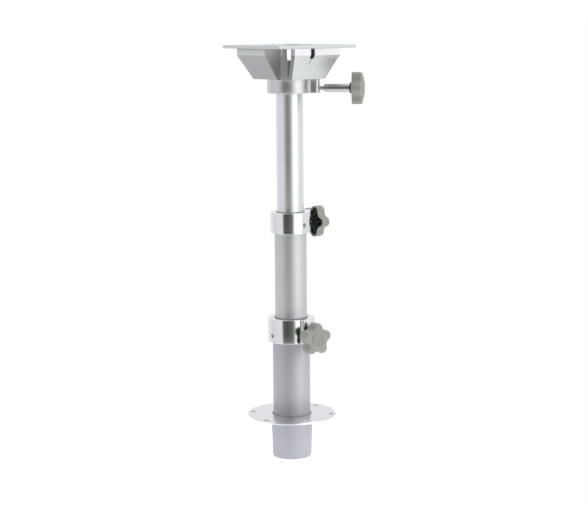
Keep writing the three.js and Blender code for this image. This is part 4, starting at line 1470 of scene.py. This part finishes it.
@dataclass(frozen=True)
class StarKnob:
    """The sizes of a star knob; heights run along its axis from the back rim."""

    lobes: int = 5
    lobe_at: float = 20.5
    lobe_r: float = 10.0
    valley_r: float = 10.0
    side: float = 15.5
    crown: float = 4.5
    wall: float = 2.6
    pocket: float = 15.0
    disc_r: float = 15.0
    disc: float = 2.0
    hub_r: float = 10.0
    hub_proud: float = 4.5
    bore_r: float = 4.3
    bore: float = 15.3
    core_wall: float = 1.2
    core_in: float = 1.5
    rib: float = 1.4
    sunk: float = 0.6  # how far a rib's ends lie inside the walls that they join

    def outline(self, offset: float, phase: float) -> list[Vector]:
        """The star outline, grown or shrunk evenly.

        Args:
            offset: how far outward it is moved.
            phase: the angle of the first lobe, in radians.

        Returns:
            The points, anticlockwise.
        """
        half = math.pi / self.lobes
        reach = self.lobe_r + self.valley_r
        along, aside = self.lobe_at * math.cos(half), self.lobe_at * math.sin(half)
        valley_at = along + math.sqrt(reach**2 - aside**2)
        tilt = math.atan2(valley_at * math.sin(half), valley_at * math.cos(half) - self.lobe_at)
        points: list[Vector] = []
        for k in range(self.lobes):
            here = phase + 2 * half * k
            there = here + half
            lobe = self.lobe_at * Vector((math.cos(here), math.sin(here)))
            valley = valley_at * Vector((math.cos(there), math.sin(there)))
            points += arc(lobe, self.lobe_r + offset, here - tilt, 2 * tilt, 18)[1:]
            back = 2 * (half - tilt)
            points += arc(valley, self.valley_r - offset, here + tilt + math.pi, back, 12)[1:]
        return points

    def handle(self, phase: float) -> Shape:
        """The shell: a crowned front with a raised disc, a hollow back and a hub.

        Args:
            phase: the angle of the first lobe, in radians.

        Returns:
            The shape, along Z from its back rim.
        """
        front = self.side + self.crown
        base = self.outline(0.0, phase)
        high = front + self.disc
        rings = [like(base, r, z) for r, z in (
            (self.disc_r - 3.0, high), (self.disc_r - 1.6, high), (self.disc_r - 0.6, high - 0.4),
            (self.disc_r, high - 1.1), (self.disc_r, front + 0.5), (self.disc_r + 0.4, front + 0.1),
        )]
        for degrees in (90, 72, 54, 36, 18, 0):
            a = math.radians(degrees)
            offset = self.crown * (math.cos(a) - 1.0)
            rings.append(flat(self.outline(offset, phase), self.side + self.crown * math.sin(a)))
        rings += [flat(self.outline(o, phase), z) for o, z in (
            (0.0, 0.7), (-0.2, 0.2), (-0.7, 0.0), (0.5 - self.wall, 0.0), (-self.wall, 0.5),
            (-self.wall, self.pocket),
        )]
        back = -self.hub_proud
        rings += [like(base, r, z) for r, z in (
            (self.hub_r, self.pocket), (self.hub_r, 0.6 - self.hub_proud),
            (self.hub_r - 0.6, back), (self.bore_r, back), (self.bore_r, self.bore),
        )]
        return loft(rings)

    def core(self, phase: float) -> Shape:
        """The dark moulding in the back of the knob, before its ribs are added.

        Args:
            phase: the angle of the first lobe.

        Returns:
            The core without its ribs.
        """
        outer = -self.wall - GAP
        inner = outer - self.core_wall
        base = self.outline(0.0, phase)
        hole, boss = self.hub_r + GAP, self.hub_r + GAP + self.core_wall
        foot, end = self.core_in, self.pocket - GAP
        ledge, floor = foot + self.core_wall, end - self.core_wall
        return loft([
            flat(self.outline(outer, phase), foot), flat(self.outline(outer, phase), end),
            like(base, hole, end), like(base, hole, ledge), like(base, boss, ledge),
            like(base, boss, floor), flat(self.outline(inner, phase), floor),
            flat(self.outline(inner, phase), foot),
        ], wrap=True)


@dataclass(frozen=True)
class ClampScrew:
    """A star knob on a threaded stud, with the soft pad that the stud pushes."""

    name: str
    collar: Collar
    gap: float  # from the lug's nose to the knob's back rim
    phase: float  # degrees, the first lobe
    backed_off: float = 0.0
    knob: StarKnob = StarKnob()
    pad_r: float = 3.8
    pad_length: float = 4.0
    stud_r: float = 4.0
    stud_in_hub: float = 15.0
    pad_core_r: float = 1.5
    neck_r: float = 7.6
    neck_gap: float = 8.0
    neck_chamfer: float = 1.5
    neck_groove: float = 0.8
    neck_sides: int = 64

    @property
    def back(self) -> float:
        """The knob's back rim, from the column's axis."""
        return self.collar.reach + self.gap

    @property
    def place(self) -> Matrix:
        """Turns what is made along Z into the clamp screw's place."""
        return outward(self.collar.turn, self.collar.screw_z)

    def build(self) -> None:
        """Builds the pad, the stud and the knob."""
        knob, phase = self.knob, math.radians(self.phase)
        body = self.name + "_knob"
        at_back = self.place @ Matrix.Translation((0.0, 0.0, self.back))
        handle = as_object(self.name + "_knob_shell", knob.handle(phase))

        def hub_in_painted_shade(place: Vector) -> bool:
            """Whether a place lies on the hub, behind the front, where shade is painted."""
            return place.xy.length < knob.hub_r + GAP and place.z < knob.pocket + GAP

        # The hub, its end and its bore are painted nearly black, as shade in the hollow back.
        mark_painted_shade(handle.data, hub_in_painted_shade)
        present(handle, Finishes.GREY, body, [body + "_handle"], at_back)
        core = as_object(self.name + "_knob_ribs", knob.core(phase))
        grown(
            core, rib_tree(), Finishes.BLACK, Count=knob.lobes, Phase=phase,
            Inner_radius=knob.hub_r + GAP + knob.sunk,
            Outer_radius=knob.lobe_at + knob.lobe_r - knob.wall - GAP - knob.sunk,
            Foot=knob.core_in + knob.core_wall, Top=knob.pocket - GAP - knob.sunk,
            Thickness=knob.rib,
        )
        present(core, Finishes.BLACK, body, [body + "_core"], at_back)
        self.stud(body)
        self.pad()

    def stud(self, body: str) -> None:
        """The threaded stud, from the pad into the hub.

        Args:
            body: the body it turns with.
        """
        start = self.collar.clamped_r + GAP + self.backed_off + self.pad_length + SEAT
        made = as_object(self.name + "_stud", bmesh.new())
        length = self.back + self.stud_in_hub - start
        grown(made, thread_tree(), Finishes.STEEL, Radius=self.stud_r, Start=start, Length=length)
        present(made, Finishes.STEEL, body, [body + "_stud"], self.place)

    def pad(self) -> None:
        """The pad on the end of the stud."""
        start = self.collar.clamped_r + GAP + self.backed_off
        end, core_r = start + self.pad_length, self.pad_core_r
        shape = turned([
            (core_r, start, 0.0), (self.pad_r, start, 0.5), (self.pad_r, end, 0.3),
            (core_r, end, 0.0),
        ], SMALL_SIDES, hollow=False)
        node = self.name + "_clamp_pad"
        made = as_object(node + "_soft", shape)
        present(made, Finishes.NYLON, self.name + "_pad", [node], self.place)

    def neck(self) -> None:
        """The long spacer between the thread and the knob, with a turned groove."""
        start = self.collar.reach + self.neck_gap
        end = self.back - self.knob.hub_proud - SEAT
        r, bore, in_groove = self.neck_r, self.stud_r + GAP, self.neck_r - self.neck_groove
        shape = turned([
            (bore, start, 0.0), (r - self.neck_chamfer, start, 0.2),
            (r, start + self.neck_chamfer, 0.3), (r, start + 4.5, 0.2),
            (in_groove, start + 5.0, 0.2), (in_groove, start + 6.2, 0.2), (r, start + 6.7, 0.2),
            (r, end, 0.5), (bore, end, 0.0),
        ], self.neck_sides)
        made = as_object("head_knob_spacer", shape)
        present(made, Finishes.STEEL, "head_knob", ["head_knob_neck"], self.place)


# ---------------------------------------------------------------- the table head


@dataclass(frozen=True)
class TableHead:
    """The turning socket, the pressed bracket, the table plate and their screws."""

    collar: Collar = HEAD
    slide: float = 0.25
    boss_wall: float = 5.0
    lip: float = 7.0
    lip_height: float = 4.0
    screw_ring_r: float = 35.4
    screw_start: float = 45.0
    screw_hole_r: float = 2.8
    screw_depth: float = 13.0
    bend: float = 0.36
    plate_hole_r: float = 45.0
    plate_corner: float = 1.5
    plate_edge: float = 0.7
    fixing_r: float = 3.5
    fixing_at: float = 74.0
    hole_chamfer: float = 0.4
    longest_side: float = 3.0  # of the plate's outline, which its hole follows
    head_r: float = 4.3
    head_height: float = 2.6
    nut_r: float = 4.6
    tab_at: float = 75.0
    tab_offset: float = 15.0

    def build(self) -> None:
        """Builds the socket, the bracket, the plate and their fasteners."""
        self.socket()
        self.bracket()
        self.plate()
        self.socket_screws()
        self.plate_fasteners()

    def screw_places(self) -> list[Vector]:
        """The axes of the socket's screws, measured from the lug."""
        angles = [math.radians(self.screw_start + 90.0 * k) for k in range(4)]
        return [self.screw_ring_r * Vector((math.cos(a), math.sin(a), 0.0)) for a in angles]

    def socket(self) -> None:
        """The polished socket with its lug and the boss above it."""
        c = self.collar
        box = Extent.of("swivel_socket")
        boss, bore = c.tube_r + self.boss_wall, c.tube_r + self.slide
        lip, top = c.tube_r - self.lip, box.high.z
        inside = [
            (boss, c.top), (boss, top - 1.0), (boss - 0.3, top - 0.3), (boss - 1.0, top),
            (lip + 0.5, top), (lip, top - 0.5), (lip, top - self.lip_height),
            (bore, top - self.lip_height), (bore, c.foot + 0.5), (bore + 0.5, c.foot),
        ]
        made = as_object("turning_socket", c.skin(inside, c.top))
        holes = [c.clamp_hole(c.tube_r - PAST)]
        for at in self.screw_places():
            low = c.top - self.screw_depth
            holes.append(bar(self.screw_hole_r, low, c.top + PAST, Matrix.Translation(at)))
        cut(made, *holes)
        present(made, Finishes.SOCKET, c.body, ["swivel_socket"], around(c.turn))

    def bracket(self) -> None:
        """The pressed pan: the frame's own sheet with softened bends."""
        shape = bmesh.new()
        shape.from_mesh(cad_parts["table_bracket"].data)
        shape.transform(Matrix.Scale(1 / MM, 4))
        bmesh.ops.remove_doubles(shape, verts=shape.verts, dist=0.002)
        bmesh.ops.dissolve_limit(
            shape, angle_limit=math.radians(0.5), verts=shape.verts, edges=shape.edges
        )
        made = as_object("pressed_bracket", shape)
        present(soften(made, self.bend), Finishes.SHEET, "head", ["table_bracket"])

    def plate(self) -> None:
        """The square plate with its large hole, corner holes and screw seats."""
        box = Extent.of("table_plate")
        half, low, top = box.high.x, box.low.z, box.high.z
        signs = [(1, 1), (-1, 1), (-1, -1), (1, -1)]
        corners = rounded([(half * x, half * y, self.plate_corner) for x, y in signs])
        outline = divided(corners, self.longest_side)
        e, r, c = self.plate_edge, self.plate_hole_r, self.hole_chamfer
        rings = [flat(inward(outline, o), z) for o, z in (
            (e, low), (e * 0.3, low + e * 0.3), (0.0, low + e), (0.0, top - e),
            (e * 0.3, top - e * 0.3), (e, top),
        )]
        rings += [like(outline, radius, z) for radius, z in (
            (r + c, top), (r, top - c), (r, low + c), (r + c, low),
        )]
        made = as_object("table_mount_plate", loft(rings, wrap=True))
        cutters = []
        for x, y in signs:
            at = Matrix.Translation((self.fixing_at * x, self.fixing_at * y, 0.0))
            cutters.append(bar(self.fixing_r, low - PAST, top + PAST, at))
        seat, wide = top - self.head_height - GAP, self.head_r + GAP
        narrow = self.screw_hole_r
        hole = ((narrow, low - PAST), (narrow, seat), (wide, seat), (wide, top + PAST))
        for place in self.tab_places():
            cutters.append(loft([circle(radius, z, SMALL_SIDES) for radius, z in hole]))
            cutters[-1].transform(Matrix.Translation(place))
        present(cut(made, *cutters), Finishes.PLATE, "head", ["table_plate"])

    def tab_places(self) -> list[Vector]:
        """The axes of the plate's screws."""
        at, off = self.tab_at, self.tab_offset
        return [Vector(p) for p in ((at, 0, 0), (-off, at, 0), (-at, 0, 0), (off, -at, 0))]

    def socket_screws(self) -> None:
        """The screws through the bracket's floor."""
        screw = Extent.of("socket_screw_1")
        turn = around(self.collar.turn)
        places = [turn @ at + UP * screw.high.z for at in self.screw_places()]
        length = screw.high.z - screw.low.z - self.head_height / 2
        nodes = numbered("socket_screw", 4)
        fasteners("socket_screws", "head", nodes, places, Shank_length=length)

    def plate_fasteners(self) -> None:
        """The sunk screws in the plate and the nuts under the tabs."""
        screw, nut = Extent.of("plate_screw_1"), Extent.of("plate_nut_1")
        length = screw.high.z - screw.low.z - self.head_height / 2
        places = [at + UP * screw.high.z for at in self.tab_places()]
        nodes = numbered("plate_screw", 4)
        fasteners("plate_screws", "head", nodes, places, Shank_length=length)
        height = nut.high.z - nut.low.z
        places = [at + UP * nut.high.z for at in self.tab_places()]
        fasteners(
            "plate_nuts", "head", numbered("plate_nut", 4), places, Has_shank=False,
            Head_sides=6, Head_radius=self.nut_r, Head_height=height,
            Recess_sides=SMALL_SIDES, Recess_radius=self.screw_hole_r, Recess_depth=height + PAST,
        )


# ---------------------------------------------------------------- the studio


@dataclass(frozen=True)
class Studio:
    """The camera, a small pale floor and a surround of soft light panels."""

    camera_at: tuple[float, float, float] = (-1.797, -2.402, 0.75)
    lens: float = 98.66
    azimuth: float = -126.8  # degrees, of the front from which the panels are counted
    aside: float = 0.12  # degrees that the camera looks to the right of the axis
    pitch: float = -8.32
    roll: float = -0.45
    floor_r: float = 0.38
    floor_z: float = -0.0795
    table_up_to: tuple[float, float] = (-0.34, -0.28)  # shares of a right angle, up from level
    overhead_from: tuple[float, float] = (0.4, 0.62)

    def build(self) -> None:
        """Builds the camera, the floor and the surround."""
        self.camera()
        self.floor()
        self.surround()

    def camera(self) -> None:
        """A fixed camera with no shift and no depth of field."""
        data = bpy.data.cameras.new("camera")
        data.lens = self.lens
        data.sensor_width = 36.0
        made = bpy.data.objects.new("camera", data)
        bpy.context.scene.collection.objects.link(made)
        towards = Vector((-self.camera_at[0], -self.camera_at[1]))
        heading = math.atan2(towards.y, towards.x) - math.radians(self.aside)
        turn = Matrix.Rotation(heading - math.pi / 2, 4, "Z")
        tilt = Matrix.Rotation(math.pi / 2 + math.radians(self.pitch), 4, "X")
        roll = Matrix.Rotation(math.radians(self.roll), 4, "Z")
        made.matrix_world = Matrix.Translation(self.camera_at) @ turn @ tilt @ roll
        bpy.context.scene.camera = made

    def floor(self) -> None:
        """A pale disc just under the object."""
        shape = bmesh.new()
        bmesh.ops.create_circle(shape, cap_ends=True, segments=96, radius=self.floor_r)
        made = as_object("studio_floor", shape)
        made.data.transform(Matrix.Translation((0.0, 0.0, self.floor_z)))
        material = bpy.data.materials.new("studio_floor")
        material.use_nodes = True
        graph = Graph(material.node_tree)
        sockets = {
            "Base Color": (0.9, 0.9, 0.9, 1.0), "Roughness": 0.9,
            "Emission Color": (1.0, 1.0, 1.0, 1.0), "Emission Strength": 0.6,
        }
        shader = graph.node("ShaderNodeBsdfPrincipled", sockets)
        graph.node("ShaderNodeOutputMaterial", {"Surface": shader.outputs[0]})
        made.data.materials.append(material)

    def surround(self) -> None:
        """Light by direction: soft panels and a dark gap around, white to the camera."""
        world = bpy.data.worlds.new("surround")
        bpy.context.scene.world = world
        world.use_nodes = True
        graph = Graph(world.node_tree)
        direction = graph.node("ShaderNodeTexCoord").outputs["Generated"]
        x, y, z = graph.node("ShaderNodeSeparateXYZ", {0: direction}).outputs
        turn = graph.math("SUBTRACT", graph.math("ARCTAN2", y, x), math.radians(self.azimuth))
        share = graph.math("FRACT", graph.math("ADD", graph.math("DIVIDE", turn, math.tau), 0.5))
        panels, table, above = (
            graph.ramp(share, [(0.5 + degrees / 360.0, colour) for degrees, colour in lights])
            for lights in (PANELS, TABLE, OVERHEAD)
        )
        height = graph.math("DIVIDE", graph.math("ARCSINE", z), math.pi / 2)
        low = graph.remap(height, *self.table_up_to, 1.0, 0.0)
        high = graph.remap(height, *self.overhead_from, 0.0, 1.0)
        light = graph.mix(high, graph.mix(low, panels, table), above)
        seen = graph.node("ShaderNodeLightPath").outputs["Is Camera Ray"]
        shown = graph.mix(seen, light, (1.0, 1.0, 1.0, 1.0))
        background = graph.node("ShaderNodeBackground", {0: shown, 1: 1.0}).outputs[0]
        graph.node("ShaderNodeOutputWorld", {0: background})


# Light around the object: degrees from the front towards the right, and colour.
PANELS = [
    (-180.0, (0.86, 0.86, 0.87)), (-125.0, (0.82, 0.82, 0.84)), (-110.0, (0.68, 0.68, 0.71)),
    (-60.0, (0.76, 0.76, 0.785)), (-46.0, (0.82, 0.82, 0.83)), (-41.0, (0.1, 0.1, 0.1)),
    (-20.0, (0.06, 0.065, 0.055)), (9.0, (0.12, 0.125, 0.11)), (19.0, (0.5, 0.5, 0.49)),
    (27.0, (1.45, 1.45, 1.45)), (62.0, (1.45, 1.45, 1.45)), (74.0, (0.76, 0.77, 0.77)),
    (125.0, (0.76, 0.77, 0.76)), (180.0, (0.86, 0.86, 0.87)),
]
OVERHEAD = [
    (-180.0, (1.3, 1.3, 1.3)), (-60.0, (1.05, 1.05, 1.05)), (-20.0, (0.6, 0.6, 0.6)),
    (25.0, (0.65, 0.65, 0.65)), (75.0, (1.35, 1.35, 1.35)), (180.0, (1.3, 1.3, 1.3)),
]
TABLE = [
    (-180.0, (0.62, 0.62, 0.68)), (-90.0, (0.84, 0.84, 0.91)), (-30.0, (0.95, 0.95, 0.95)),
    (10.0, (0.95, 0.96, 0.94)), (90.0, (0.66, 0.7, 0.67)), (180.0, (0.62, 0.62, 0.68)),
]


def main() -> None:
    """Builds every piece in order, then the studio."""
    FloorSocket().build()
    Tube("lower_tube", "lower_stage", Finishes.LOWER_TUBE, LOWER).build()
    ClampCollar("lower", LOWER).build()
    ClampScrew("lower", LOWER, gap=13.0, phase=15.0).build()
    Tube("middle_tube", "middle_stage", Finishes.MIDDLE_TUBE, UPPER).build()
    ClampCollar("upper", UPPER).build()
    ClampScrew("upper", UPPER, gap=9.0, phase=39.0).build()
    Tube("upper_tube", "upper_stage", Finishes.UPPER_TUBE).build()
    TubeEnds().build()
    TableHead().build()
    head_screw = ClampScrew("head", HEAD, gap=60.5, phase=36.0, backed_off=5.0)
    head_screw.build()
    head_screw.neck()
    Studio().build()
    bpy.context.scene.view_settings.view_transform = "Standard"


if __name__ == "__main__":
    logging.basicConfig(level=logging.INFO, format="%(message)s")
    main()
